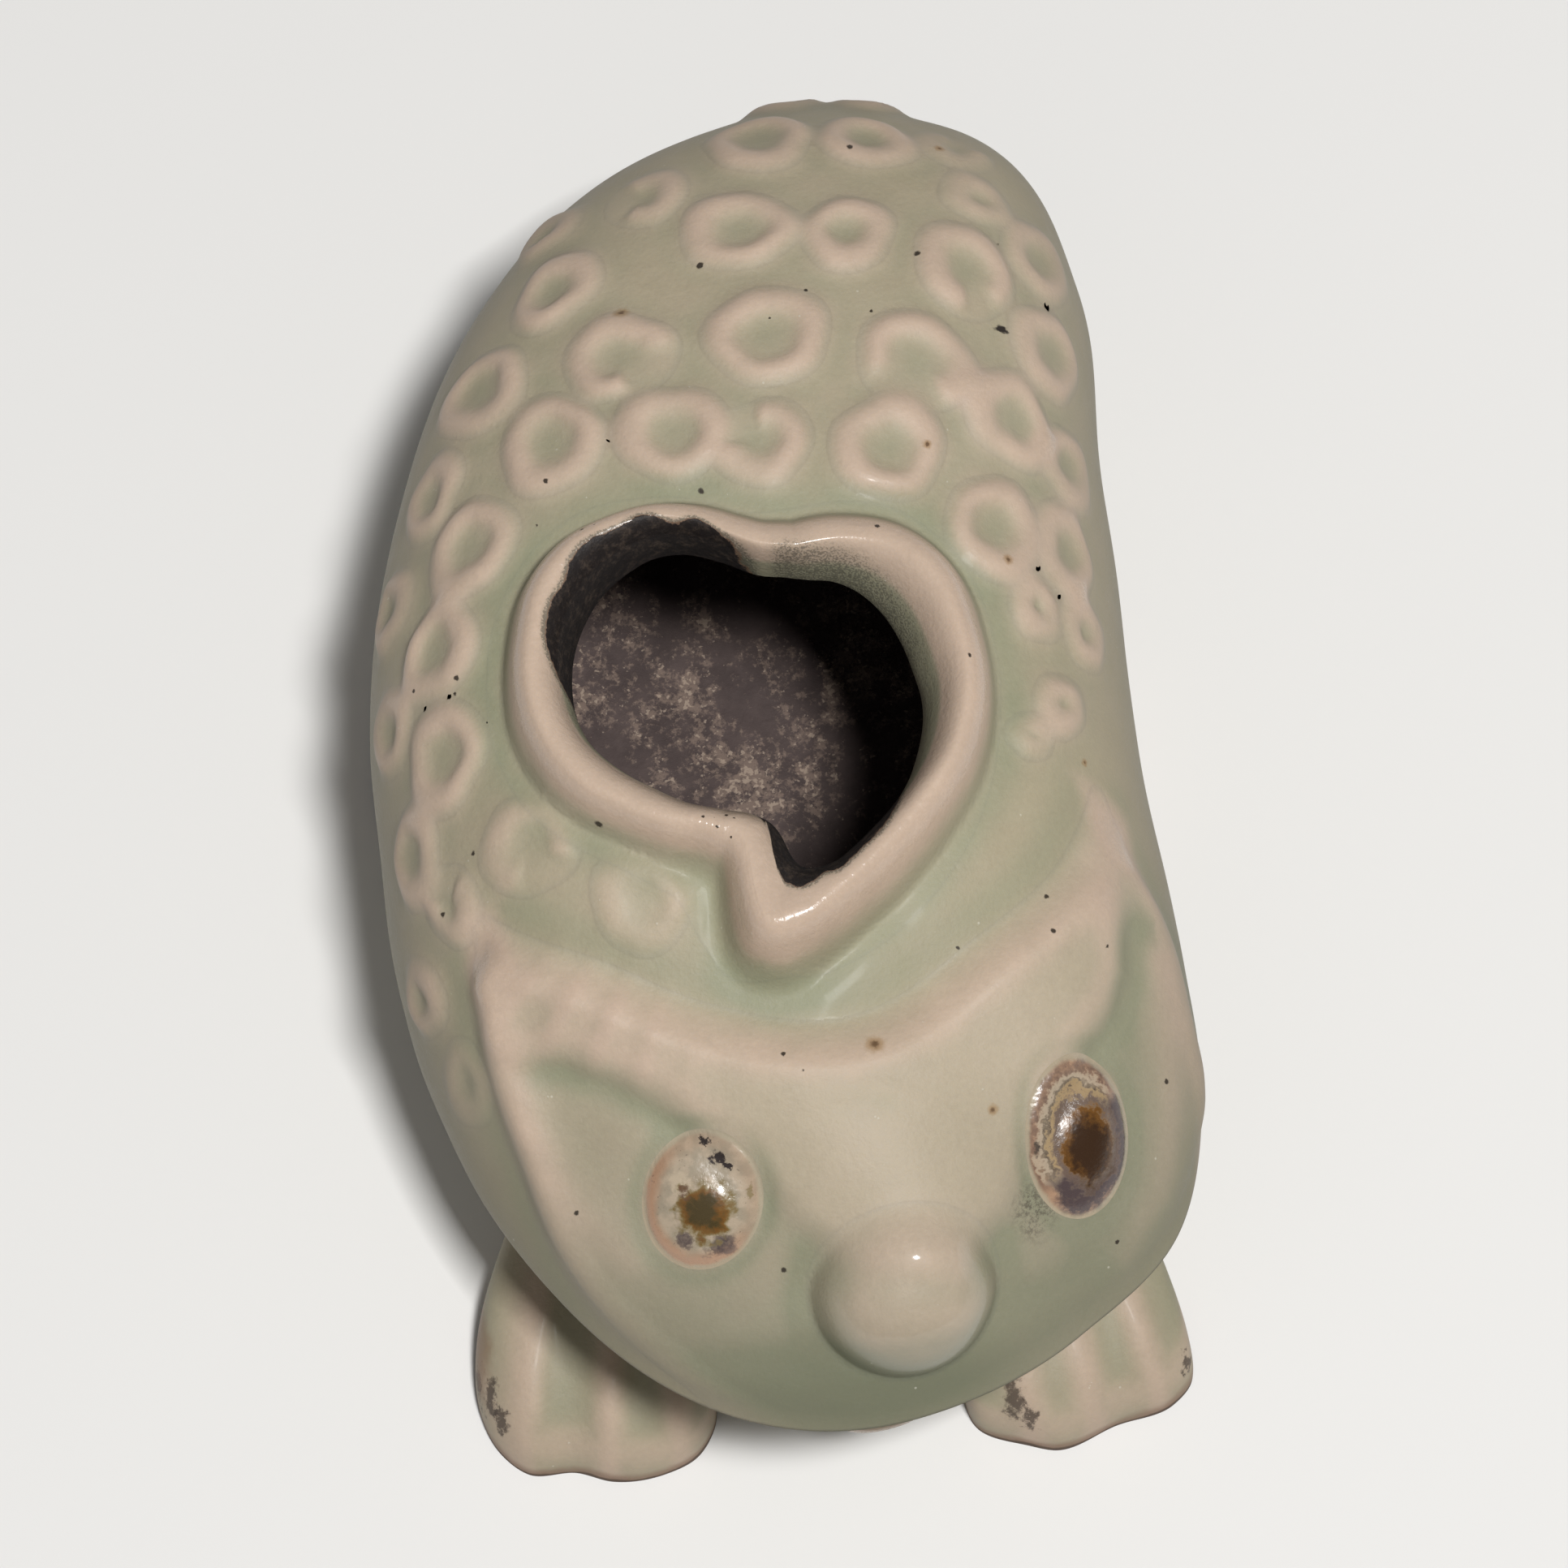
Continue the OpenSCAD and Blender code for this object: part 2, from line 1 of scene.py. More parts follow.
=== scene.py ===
"""Glazed stoneware water dropper in the shape of a toad, dressed round its packed clay pieces.

Azimuth is measured at the middle of the filling mouth, in degrees: 0 points to the head, 90 to the
side of the right eye and 180 to the rump. Shapes are worked out in millimetres and built in metres.
"""
import functools
import math
import types

import bpy
import numpy as np
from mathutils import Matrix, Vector


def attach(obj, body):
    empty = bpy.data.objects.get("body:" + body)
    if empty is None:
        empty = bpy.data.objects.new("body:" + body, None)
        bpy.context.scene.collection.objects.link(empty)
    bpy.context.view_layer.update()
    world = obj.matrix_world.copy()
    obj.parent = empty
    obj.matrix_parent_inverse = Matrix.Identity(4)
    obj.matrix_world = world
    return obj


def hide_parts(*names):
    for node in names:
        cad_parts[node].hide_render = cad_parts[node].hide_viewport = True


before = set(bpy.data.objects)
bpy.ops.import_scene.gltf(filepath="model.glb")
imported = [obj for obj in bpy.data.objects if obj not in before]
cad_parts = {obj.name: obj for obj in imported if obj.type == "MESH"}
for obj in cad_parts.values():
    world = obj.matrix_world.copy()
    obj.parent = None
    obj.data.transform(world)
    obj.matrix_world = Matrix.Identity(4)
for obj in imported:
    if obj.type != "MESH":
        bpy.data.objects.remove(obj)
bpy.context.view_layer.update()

bl_info = {
    "name": "Toad water dropper",
    "version": (1, 0, 0),
    "blender": (4, 5, 0),
    "location": "3D View > Sidebar > Dropper",
    "description": "Builds the glazed skin of a toad-shaped water dropper round its clay pieces",
    "category": "Object",
}

MM = 0.001
BODY = "root"

# Girth outline as [azimuth, share of the ellipse of the body's width and length]
GIRTH_PLAN = [
    (0, 0.92), (15, 1.005), (30, 1.12), (43, 1.21), (54, 1.175), (67, 1.08),
    (83, 0.99), (102, 0.94), (120, 0.955), (136, 1.01), (148, 1.12), (157, 1.17),
    (168, 1.105), (182, 1.025), (204, 0.99), (222, 0.97), (240, 0.945), (262, 0.92),
    (280, 0.893), (302, 0.88), (326, 0.868), (342, 0.868),
]
# Lower edge of the filling mouth and crest of its coil, as [azimuth, radius]
MOUTH_PLAN = [
    (6, 7.4), (11, 7.8), (12.8, 8.1), (14.8, 8.9), (15.8, 9.8), (18, 10.6), (21, 11.0), (26, 11.2),
    (32.6, 11.0), (39.7, 10.8), (48.9, 10.7), (59, 10.6), (70, 10.5), (93, 10.4), (103, 10.15),
    (115, 10.05),
    (127.5, 9.95), (138, 9.7), (146, 9.3), (155, 8.6), (164, 8.25), (176, 8.1), (190, 9.05), (203, 10.3),
    (211, 10.8), (221, 11.05), (230, 11.15), (241, 11.05), (253, 10.8), (262, 10.5), (268, 10.3),
    (276, 10.0),
    (285, 9.6), (302, 8.55), (317, 7.75), (334, 7.35), (350, 7.1),
]
CREST_PLAN = [
    (0.2, 11.2), (1.2, 13.0), (2.4, 14.4), (5.4, 15.2), (11.5, 14.9), (17.6, 14.3), (23, 13.8), (39, 12.9),
    (56, 12.7), (71, 12.9), (90, 13.0), (107, 12.9), (122, 12.9), (136, 12.2), (149, 10.6), (163.5, 8.9),
    (176, 8.6), (188, 9.6), (198, 10.8), (209, 12.0), (220, 12.7), (229, 13.2), (241, 13.4), (256, 13.0),
    (270, 12.7), (285, 12.2), (300, 11.4), (317, 10.3), (333, 9.6), (350, 9.3), (358.4, 10.1),
]
# Width of the coil outside its crest, and limit of the skin that belongs to the coil
COIL_WIDTHS = [
    (0, 1.5), (8, 1.7), (30, 1.8), (84, 1.7), (127, 2.0), (163, 2.1), (190, 1.8), (208, 1.4), (235, 1.7),
    (270, 1.6), (300, 1.5), (330, 1.4), (350, 1.5),
]
COIL_LIMIT = [
    (0, 17.1), (12, 17.2), (25, 16.8), (40, 16.2), (60, 15.6), (84, 15.2), (103, 15.4), (127, 15.6),
    (145, 14.7), (157, 13.2), (166, 12.1), (175, 11.5), (183, 11.6), (190, 12.3), (205, 13.9), (222, 15.7),
    (244, 16.2), (262, 15.7), (280, 15.2), (298, 14.5), (312, 13.6), (322, 13.0), (333, 12.8), (343, 13.2),
    (350, 15.0), (356, 16.7),
]
# Outer limit of the bare clay in the mouth: in its front notch and along its left lobe
BARE_PLAN = [
    (0, 6.8), (5, 7.6), (7, 8.3), (8.4, 9.4), (8.6, 10.6), (9.4, 11.8), (11.9, 12.7), (17.4, 12.85),
    (21, 12.5),
    (24.3, 12.7), (29.3, 12.4), (34.7, 12.1), (41.7, 11.9), (47.3, 11.5), (55, 10.9), (66, 10.0), (80, 9.4),
    (120, 9.0), (160, 7.2), (174, 7.6), (182, 8.3), (189, 9.2), (196, 10.4), (204.6, 10.9), (208, 11.6),
    (211, 11.9), (220.5, 12.2), (226, 12.65), (234, 12.7), (240, 12.3), (247, 12.4), (257, 12.0),
    (267, 10.9),
    (276, 9.6), (300, 8.2), (330, 6.8),
]
# Crown edge of the face plate as [azimuth, radius], and its cheek and lip edge in shares of the reach
CROWN_PLAN = [(-52, 19.5), (-27, 17.6), (-6, 18.2), (16, 19.6), (44, 19.3), (64, 20.4), (81, 20.8)]
CHEEK_PLAN = [
    (-52, 0.8), (-37, 0.86), (-27, 0.9), (-19, 0.945), (-8, 0.98), (2, 1),
    (50, 1), (57, 0.97), (68, 0.93), (73, 0.88), (81, 0.84),
]
PLATE_FROM = -52
PLATE_TO = 81
# Lower edge of the raised forehead as points on the plan, from the left brow round the nose
BROW_LINE = [
    (-14.5, -19.6), (-10.4, -20.2), (-7.8, -21.2), (-5.1, -22.6), (-2.6, -24.3), (0.4, -26.4),
    (2.6, -29.0), (5.5, -31.0), (11.5, -31.0), (14.8, -28.5), (16.0, -25.0), (17.4, -21.6),
    (19.4, -19.0), (20.8, -16.8), (21.6, -14.6), (21.6, -10.0),
]
# Ridges outside the right and the left eye
RIGHT_RIDGE = [(24.0, -13.5), (24.6, -18.5), (24.8, -22.0), (24.2, -26.5), (22.2, -30.0)]
LEFT_RIDGE = [(-14.2, -14.5), (-13.6, -19.0), (-12.4, -23.5), (-9.8, -27.8), (-6.6, -31.2)]

# Middle and spread of the part of the body that the head shapes, and of its overhanging lip
HEAD_AZ, HEAD_CORE, HEAD_SPREAD = 16, 15, 85
LIP_AZ, LIP_CORE, LIP_SPREAD = 12, 25, 72
BACK_ROUND, FACE_ROUND, FACE_SLOPE, WALL_ROUND = 2.4, 1.6, 1.15, 2.2
# Height of the round under-edge of the lip
LIP_ROLL = 1.3

# Places on the face as [azimuth, share of the reach], and ovals as half width, half length and turn
NOSE_AT = (15.6, 0.838)
EYES = {
    "left": {"at": (-5, 0.735), "size": (3.35, 4.1, -14), "pupil": (1.75, 1.9, 0), "shift": (0.2, -0.6)},
    "right": {"at": (38.5, 0.79), "size": (3.2, 4.7, 8), "pupil": (1.95, 2.6, 8), "shift": (0.4, -0.3)},
}

# Forepaws: azimuths of their ends on the wall, outline of the toes as [x, y, place along the wall from
# -1 to 1], and places of the toes' ridges
FORE_FEET = {
    "left": {
        "wall": (-34, -4),
        "outline": [
            (-14.7, -25.0, -1), (-16.2, -27.1, -1), (-17.0, -31.2, -0.98), (-16.6, -34.4, -0.95),
            (-15.4, -36.7, -0.88), (-13.6, -38.05, -0.72), (-10.6, -37.95, -0.3), (-8.4, -38.5, 0),
            (-5.2, -38.05, 0.4), (-3.1, -36.9, 0.7), (-2.1, -35.1, 0.88), (-2.0, -32.5, 1),
        ],
        "toes": (-0.78, -0.03, 0.56),
    },
    "right": {
        "wall": (22, 54),
        "outline": [
            (13.0, -32.0, -1), (14.2, -35.1, -0.88), (17.4, -36.2, -0.52), (19.0, -36.5, -0.36),
            (22.9, -34.9, 0.12), (26.4, -33.6, 0.6), (27.5, -32.3, 0.78), (27.4, -29.7, 0.93),
            (26.6, -27.6, 1), (25.3, -25.0, 1),
        ],
        "toes": (-0.5, -0.05, 0.48),
    },
}
HIND_FEET = {"left": (-116, 18), "right": (112, 18)}

# Warts as [azimuth, share of the reach, outer radius, height share, start and sweep of a gap]
WARTS = {
    "rump_warts": [
        (179, 0.876, 3.4, 1, 0, 0), (169.5, 0.866, 3.0, 1, 0, 0), (162, 0.9, 2.4, 0.5, 60, 90),
        (158, 0.835, 2.3, 0.6, 0, 0), (177, 0.985, 2.5, 1, 0, 0), (170.5, 0.98, 2.4, 0.9, 0, 0),
        (-170, 0.84, 2.7, 0.8, -60, 120), (-160, 0.93, 2.6, 0.8, 0, 0),
    ],
    "back_warts": [
        (-145, 0.617, 3.4, 1, 0, 0), (-165, 0.426, 3.3, 1, 0, 0), (177, 0.352, 2.9, 0.9, -20, 105),
        (152, 0.431, 3.4, 1, 0, 0), (140.5, 0.727, 3.2, 1, 0, 0), (-161, 0.603, 3.3, 1, -175, 95),
        (177, 0.516, 3.6, 1, 0, 0), (155, 0.555, 3.5, 1, -150, 110), (-157.5, 0.807, 3.1, 1, 0, 0),
        (-179, 0.707, 3.4, 1, 0, 0), (169, 0.688, 2.9, 1, 0, 0), (155.5, 0.726, 3.3, 1, -160, 60),
        (143.5, 0.85, 3.2, 0.9, 0, 0), (150.5, 0.885, 3.0, 0.8, 0, 0),
    ],
    "left_flank_warts": [
        (-143.5, 0.83, 3.4, 1, 0, 0), (-123, 0.736, 3.3, 1, 0, 0), (-129, 0.87, 2.9, 0.9, 0, 0),
        (-104, 0.791, 3.2, 1, 0, 0), (-113, 0.93, 2.7, 0.9, 0, 0), (-83, 0.789, 3.3, 1, 0, 0),
        (-93, 0.92, 2.8, 0.9, 0, 0), (-70, 0.9, 3.0, 0.9, 0, 0), (-56, 0.622, 3.0, 0.6, -40, 100),
        (-26.5, 0.435, 2.9, 0.4, 0, 0), (-58, 0.835, 2.4, 0.7, 140, 120), (-52, 0.95, 2.5, 0.8, 0, 0),
        (-39, 0.93, 2.5, 0.4, 0, 0),
    ],
    "right_flank_warts": [
        (128, 0.657, 3.3, 1, 0, 0), (121, 0.835, 3.0, 0.9, 0, 0), (112, 0.738, 2.0, 0.8, 0, 0),
        (93, 0.768, 2.0, 0.8, 0, 0), (85, 0.675, 1.4, 0.5, 0, 0), (108, 0.86, 2.3, 0.8, 0, 0),
        (132, 0.87, 2.8, 0.8, 0, 0),
    ],
}
WART_RIDGE = 1.9

# Height of the mouth's thin lip above the roof of the chamber, and the ledge of roof below it
MOUTH_LIP = 0.9
MOUTH_BED = 1.2

COLUMNS = 720
MOUTH_ROWS = 46
MOUTH_WALL_ROWS = 8
BACK_ROWS = 128
WALL_ROWS = 56
GIRTH_ROW = MOUTH_ROWS + BACK_ROWS
TUBE_SIDES = 72

# Section of the lower jaw as [share of its stand-out, share of its height]
JAW_SECTION = [
    (-0.15, 0.5), (-0.15, 0.0), (0.1, 0.0), (0.55, 0.08), (0.95, 0.4), (0.95, 0.8), (0.65, 1.02),
    (0.2, 1.02), (-0.15, 1.0), (-0.15, 0.5),
]

# Rounded edge of the foot as [how far in, height]
FOOT_PROFILE = [(0, 2.4), (0, 1.8), (0.02, 1.2), (0.1, 0.7), (0.32, 0.28), (0.62, 0.07), (0.95, 0.0)]

# Frame of the photograph, in its own pixels, and how the camera stood
PHOTO_SIZE = 1932
CAMERA_HEIGHT_ANGLE = 70
CAMERA_DISTANCE = 450
CAMERA_AIM = (2.2, 1.3, 17.0)
PIXELS_PER_MM = 20
SENSOR = 36

# Places and widths of the lamps, and half the width of the floor, in metres
KEY_PLACE = (0.17, -0.24, 0.955)
KEY_SIZE = 0.13
FILL_PLACE = (-0.5, -0.7, 0.9)
FILL_SIZE = 1.2
FLOOR_HALF = 1.5


def length(name, description, default):
    """A size that the panel shows as a length"""
    look = {"unit": "LENGTH", "subtype": "DISTANCE", "precision": 5}
    return bpy.props.FloatProperty(name=name, description=description, default=default * MM, **look)


def power(name, description, default):
    """The power of a lamp"""
    return bpy.props.FloatProperty(name=name, description=description, default=default, unit="POWER")


def share(name, description, default):
    """A share from 0 to 1 that the panel shows as a slider"""
    return bpy.props.FloatProperty(
        name=name, description=description, default=default, min=0, max=1, subtype="FACTOR"
    )


def colour(name, description, default):
    """A colour that the panel shows as a swatch"""
    return bpy.props.FloatVectorProperty(
        name=name, description=description, default=default, size=3, min=0, max=1, subtype="COLOR"
    )


class DropperBody(bpy.types.PropertyGroup):
    """Sizes of the clay body"""

    body_length: length("Body length", "Length of the body from the lip to the rump", 86.6)
    body_width: length("Body width", "Width of the body across the girth", 50.8)
    back_height: length("Back height", "Height of the back round the filling mouth", 37)
    girth_height: length("Girth height", "Height of the girth above the table", 16.5)
    wall: length("Wall", "Thickness of the clay wall", 3)
    floor: length("Floor", "Thickness of the floor slab", 3)
    foot_inset: length("Foot inset", "How far the wall draws in from the girth to the table", 5)
    chest_inset: length("Chest inset", "How far the chest draws in from the head to the table", 8)
    coil_height: length("Coil height", "Height of the clay coil round the filling mouth", 1.45)
    swelling: length("Swelling", "Height of the soft swellings under the warts", 0.26)
    wart_height: length("Wart height", "Height of the wart rings above the skin", 0.47)
    paw_height: length("Paw height", "Height of the forepaws where they leave the chest", 9)
    toe_height: length("Toe height", "Height of the toes at the front of a foot", 4)
    toe_ridge: length("Toe ridge", "Height of the ridges along the toes", 0.5)
    hind_out: length("Hind foot stand-out", "How far the hind toes stand out from the wall", 1.6)
    hind_height: length("Hind foot height", "Height of the hind feet", 8)


class DropperHead(bpy.types.PropertyGroup):
    """Sizes of the head, its face and its mouth"""

    lip_height: length("Lip height", "Height of the upper lip above the table", 19.5)
    lip_over: length("Lip overhang", "How far the upper lip stands out over the chest", 6)
    plate: length("Face plate", "Thickness of the face plate on the body", 1.15)
    crown: length("Crown", "How much thicker the face plate is at its crown", 0.6)
    brow: length("Brow", "How far the forehead stands over the cheeks", 0.55)
    nose_radius: length("Nose radius", "Radius of the nose knob", 5.15)
    nose_height: length("Nose height", "How far the nose knob stands out from the face", 4.5)
    eye_height: length("Eye height", "How far the eyes stand out from the face", 0.75)
    pupil_height: length("Pupil height", "How far the iron spots stand out from the eyes", 0.25)
    mouth_gap: length("Mouth gap", "Gap between the upper lip and the lower jaw", 1.2)
    jaw_height: length("Jaw height", "Height of the lower jaw", 7)
    jaw_out: length("Jaw stand-out", "How far the lower jaw stands out from the chest", 4)
    jaw_end: length("Jaw end", "Height of the lower jaw where it runs out", 1.5)
    bore: length("Pouring hole", "Radius of the pouring hole", 1.5)
    tube: length("Spout wall", "Wall of the spout tube", 1.1)
    tip: length("Spout tip", "How far the spout tube stands out from the jaw", 0.8)


class DropperGlaze(bpy.types.PropertyGroup):
    """Colours and finish of the glaze and the clay"""

    green: colour("Celadon", "Glaze of ordinary thickness on the back", (0.395, 0.34, 0.235))
    pool: colour("Pooled celadon", "Glaze where it lies thick", (0.265, 0.275, 0.18))
    ridge: colour("Thin glaze", "Glaze that is worn thin over an edge", (0.535, 0.41, 0.315))
    cream: colour("Pale glaze", "Milky glaze of the face", (0.46, 0.385, 0.285))
    bare: colour("Bare clay", "Dark clay where no glaze lies", (0.02, 0.016, 0.015))
    burnt: colour("Flashed clay", "Reddish clay along the edge of the glaze", (0.2, 0.1, 0.055))
    fleck: colour("Beige flecks", "Ash flecks on the chamber floor", (0.31, 0.225, 0.175))
    amber: colour("Amber", "Thin iron glaze at the edge of a pupil", (0.16, 0.068, 0.012))
    iron: colour("Iron brown", "Thick iron glaze in the middle of a pupil", (0.028, 0.012, 0.005))
    salmon: colour("Salmon", "Flashed clay at the edge of an eye", (0.42, 0.245, 0.15))
    plum: colour("Plum", "Purple-grey glaze round a pupil", (0.075, 0.052, 0.052))
    roughness: share("Roughness", "Roughness of the glaze", 0.53)
    peel: length("Orange peel", "Depth of the glaze's orange peel", 0.03)


class DropperStage(bpy.types.PropertyGroup):
    """The floor, the lamps and the camera"""

    floor: colour("Floor", "Colour of the floor", (0.8, 0.79, 0.77))
    key: power("Key lamp", "Power of the key lamp", 9.2)
    fill: power("Fill lamp", "Power of the fill lamp", 0.7)
    world: share("World", "Level of the plain world light", 0.13)


def mix(start, end, t):
    return start + (end - start) * t


def ease(t):
    u = np.clip(t, 0, 1)
    return u * u * (3 - 2 * u)


def bump(t):
    """Soft hump that is 1 at 0 and fades out by about 2"""
    return np.exp(-np.square(t))


def away(a, b):
    return np.abs((a - b + 180) % 360 - 180)


def signed_away(a, b):
    return (a - b + 180) % 360 - 180


def rounded(t, fillet):
    """Square of the height of a round roll: 1 at its middle, 0 past its edge, with a soft foot"""
    left = 1 - t * t
    return np.where(left > fillet, left, np.clip(left + fillet, 0, None) ** 2 / (4 * fillet))


def unit(v):
    return v / np.maximum(np.linalg.norm(v, axis=-1, keepdims=True), 1e-12)


def around(plan, azimuth):
    """Smooth closed curve through [azimuth, value] points"""
    knots = np.array(sorted((a % 360, v) for a, v in plan), float)
    turns = np.concatenate([knots[:, 0] - 360, knots[:, 0], knots[:, 0] + 360])
    values = np.tile(knots[:, 1], 3)
    gaps = np.diff(turns)
    rises = np.diff(values) / gaps
    slopes = np.zeros_like(values)
    slopes[1:-1] = (rises[:-1] * gaps[1:] + rises[1:] * gaps[:-1]) / (gaps[:-1] + gaps[1:])
    a = np.asarray(azimuth, float) % 360
    i = np.clip(np.searchsorted(turns, a, side="right") - 1, 0, len(gaps) - 1)
    t = (a - turns[i]) / gaps[i]
    t2 = t * t
    t3 = t2 * t
    return (
        (2 * t3 - 3 * t2 + 1) * values[i]
        + (t3 - 2 * t2 + t) * gaps[i] * slopes[i]
        + (3 * t2 - 2 * t3) * values[i + 1]
        + (t3 - t2) * gaps[i] * slopes[i + 1]
    )


def spline(controls, samples):
    """Clamped cubic B-spline of the control points on the first axis, at even steps"""
    count = len(controls)
    knots = np.concatenate([np.zeros(3), np.linspace(0, 1, count - 2), np.ones(3)])
    t = np.linspace(0, 1, samples)
    t[-1] -= 1e-9
    basis = [((knots[i] <= t) & (t < knots[i + 1])).astype(float) for i in range(len(knots) - 1)]
    for degree in (1, 2, 3):
        raised = []
        for i in range(len(basis) - 1):
            left = knots[i + degree] - knots[i]
            right = knots[i + degree + 1] - knots[i + 1]
            term = np.zeros_like(t)
            if left > 0:
                term += (t - knots[i]) / left * basis[i]
            if right > 0:
                term += (knots[i + degree + 1] - t) / right * basis[i + 1]
            raised.append(term)
        basis = raised
    weights = np.array(basis).T
    return np.tensordot(weights, np.array(controls), axes=1)


def evenly(curve, steps):
    """The curve [point, column, coordinate] again, with evenly spaced points along each column"""
    out = np.empty((steps + 1,) + curve.shape[1:])
    runs = np.linalg.norm(np.diff(curve, axis=0), axis=2)
    for k in range(curve.shape[1]):
        along = np.concatenate([[0], np.cumsum(runs[:, k])])
        wanted = np.linspace(0, along[-1], steps + 1)
        for c in range(curve.shape[2]):
            out[:, k, c] = np.interp(wanted, along, curve[:, k, c])
    return out


def cast(azimuth, radius, height):
    """Point at an azimuth, a radius and a height"""
    a = np.radians(azimuth)
    return np.stack(np.broadcast_arrays(radius * np.sin(a), -radius * np.cos(a), height), axis=-1)


class Body:
    """Formulas of the vessel's plain skin, in millimetres, from the sizes in the panel"""

    def __init__(self, body, head):
        for group in (body, head):
            for name in group.__annotations__:
                setattr(self, name, getattr(group, name) / MM)

    def headness(self, a):
        return ease((HEAD_SPREAD - away(a, HEAD_AZ)) / (HEAD_SPREAD - HEAD_CORE))

    def lipness(self, a):
        return ease((LIP_SPREAD - away(a, LIP_AZ)) / (LIP_SPREAD - LIP_CORE))

    def reach(self, a):
        t = np.radians(a)
        return around(GIRTH_PLAN, a) / np.hypot(
            np.sin(t) / (self.body_width / 2), np.cos(t) / (self.body_length / 2)
        )

    def edge_h(self, a):
        return mix(self.girth_height, self.lip_height, self.headness(a))

    def skin_z(self, a, r, inside=0):
        """Height of the skin, or of the roof of the chamber where inside is the wall's thickness"""
        reach = self.reach(a) - inside - (self.lip_over * self.lipness(a) if inside else 0)
        edge = self.edge_h(a)
        out_round = mix(BACK_ROUND, FACE_ROUND, self.headness(a))
        down_round = mix(BACK_ROUND, FACE_SLOPE, self.headness(a))
        left = np.clip(1 - np.clip(r / reach, 0, 1) ** out_round, 0, 1)
        return edge + (self.back_height - inside - edge) * left ** (1 / down_round)

    def wall_r(self, a, h):
        reach = self.reach(a) - self.lip_over * self.lipness(a)
        inset = mix(self.foot_inset, self.chest_inset, self.headness(a))
        return reach - inset * np.clip(1 - h / self.edge_h(a), 0, None) ** WALL_ROUND

    def skin_at(self, a, share_of_reach):
        """Point of the skin and its frame: level to the right, down the slope, and outward"""
        a = float(a)
        r = share_of_reach * self.reach(a)

        def on(da, dr):
            return cast(a + da, r + dr, self.skin_z(a + da, r + dr))

        level = unit(on(1, 0) - on(-1, 0))
        out = unit(np.cross(on(0, -0.2) - on(0, 0.2), level))
        if out[2] < 0:
            out = -out
        slope = unit(on(0, 0.2) - on(0, -0.2))
        slope = unit(slope - level * np.dot(slope, level))
        return on(0, 0), level, slope, out


def plate_sides(body, a, r):
    """Distances from the crown edge, the cheek and lip edge and the ends of the face plate.

    Last comes the place across the plate: 0 at its crown edge and 1 at its cheek and lip edge.
    """
    crown = around(CROWN_PLAN, a)
    width = np.maximum(around(CHEEK_PLAN, a) * body.reach(a), crown + 0.5) - crown
    v = (r - crown) / width
    turn = signed_away(a, (PLATE_FROM + PLATE_TO) / 2)
    end = ((PLATE_TO - PLATE_FROM) / 2 - np.abs(turn)) * np.radians(1) * r
    to_lip = ease((34 - away(a, 26)) / 20)
    return v * width, (1 - v) * width + 2.2 * to_lip, end, v


def plate_level(body, a, r):
    """Distance from the border of the face plate, below 0 on the plate"""
    crown, cheek, end, _ = plate_sides(body, a, r)
    return -np.minimum(np.minimum(crown, cheek), end)


def polyline_side(x, y, line):
    """Signed distance from a line of points on the plan, above 0 on its left"""
    best = np.full(x.shape, 1e9)
    side = np.zeros(x.shape)
    for (x0, y0), (x1, y1) in zip(line[:-1], line[1:]):
        dx, dy = x1 - x0, y1 - y0
        t = np.clip(((x - x0) * dx + (y - y0) * dy) / (dx * dx + dy * dy), 0, 1)
        gap = np.hypot(x - x0 - dx * t, y - y0 - dy * t)
        nearer = gap < best
        best = np.where(nearer, gap, best)
        side = np.where(nearer, np.sign(dx * (y - y0) - dy * (x - x0)), side)
    return best * np.where(side >= 0, 1, -1)


class Oval:
    """An oval on the skin: its middle, its axes and its half sizes"""

    def __init__(self, body, at, size, shift=(0, 0)):
        middle, _, _, out = body.skin_at(*at)
        sideways = unit(np.array([1.0, 0, 0]) - out * out[0])
        forward = np.cross(out, sideways)
        turn = math.radians(size[2])
        self.middle = middle + sideways * shift[0] + forward * shift[1]
        self.across = sideways * math.cos(turn) + forward * math.sin(turn)
        self.along = forward * math.cos(turn) - sideways * math.sin(turn)
        self.out = out
        self.half = np.array(size[:2], float)
        self.right = sideways
        self.up = forward

    def place(self, points):
        """Share of the way from the middle to the oval's edge, across and along it"""
        gap = points - self.middle
        return gap @ self.across / self.half[0], gap @ self.along / self.half[1]

    def level(self, points):
        """Distance from the oval's edge, below 0 inside"""
        u, v = self.place(points)
        depth = (points - self.middle) @ self.out
        return (np.hypot(u, v) - 1) * self.half.min() + np.where(np.abs(depth) > 8, 50, 0)


class Wart:
    """A ring of clay on the skin"""

    def __init__(self, body, spec, luck):
        azimuth, reach, radius, high, first, gap = spec
        self.middle, self.level, self.slope, self.out = body.skin_at(azimuth, reach)
        self.radius = radius
        self.high = high
        self.first = math.radians(first)
        self.gap = math.radians(gap)
        self.phases = luck.uniform(0, 2 * math.pi, 5)
        self.swell = luck.uniform(0.75, 1.25, 3)

    def measure(self, points):
        """Distance from the middle, with the ring's uneven outline taken out, and angle"""
        gap = points - self.middle
        u = gap @ self.level
        v = gap @ self.slope
        angle = np.arctan2(v, u)
        wobble = (
            1
            + 0.055 * self.swell[0] * np.cos(2 * angle + self.phases[0])
            + 0.04 * self.swell[1] * np.cos(3 * angle + self.phases[1])
            + 0.022 * self.swell[2] * np.cos(5 * angle + self.phases[2])
        )
        far = np.abs(gap @ self.out) > 4
        return np.where(far, 1e3, np.sqrt(u * u + v * v) / wobble), angle


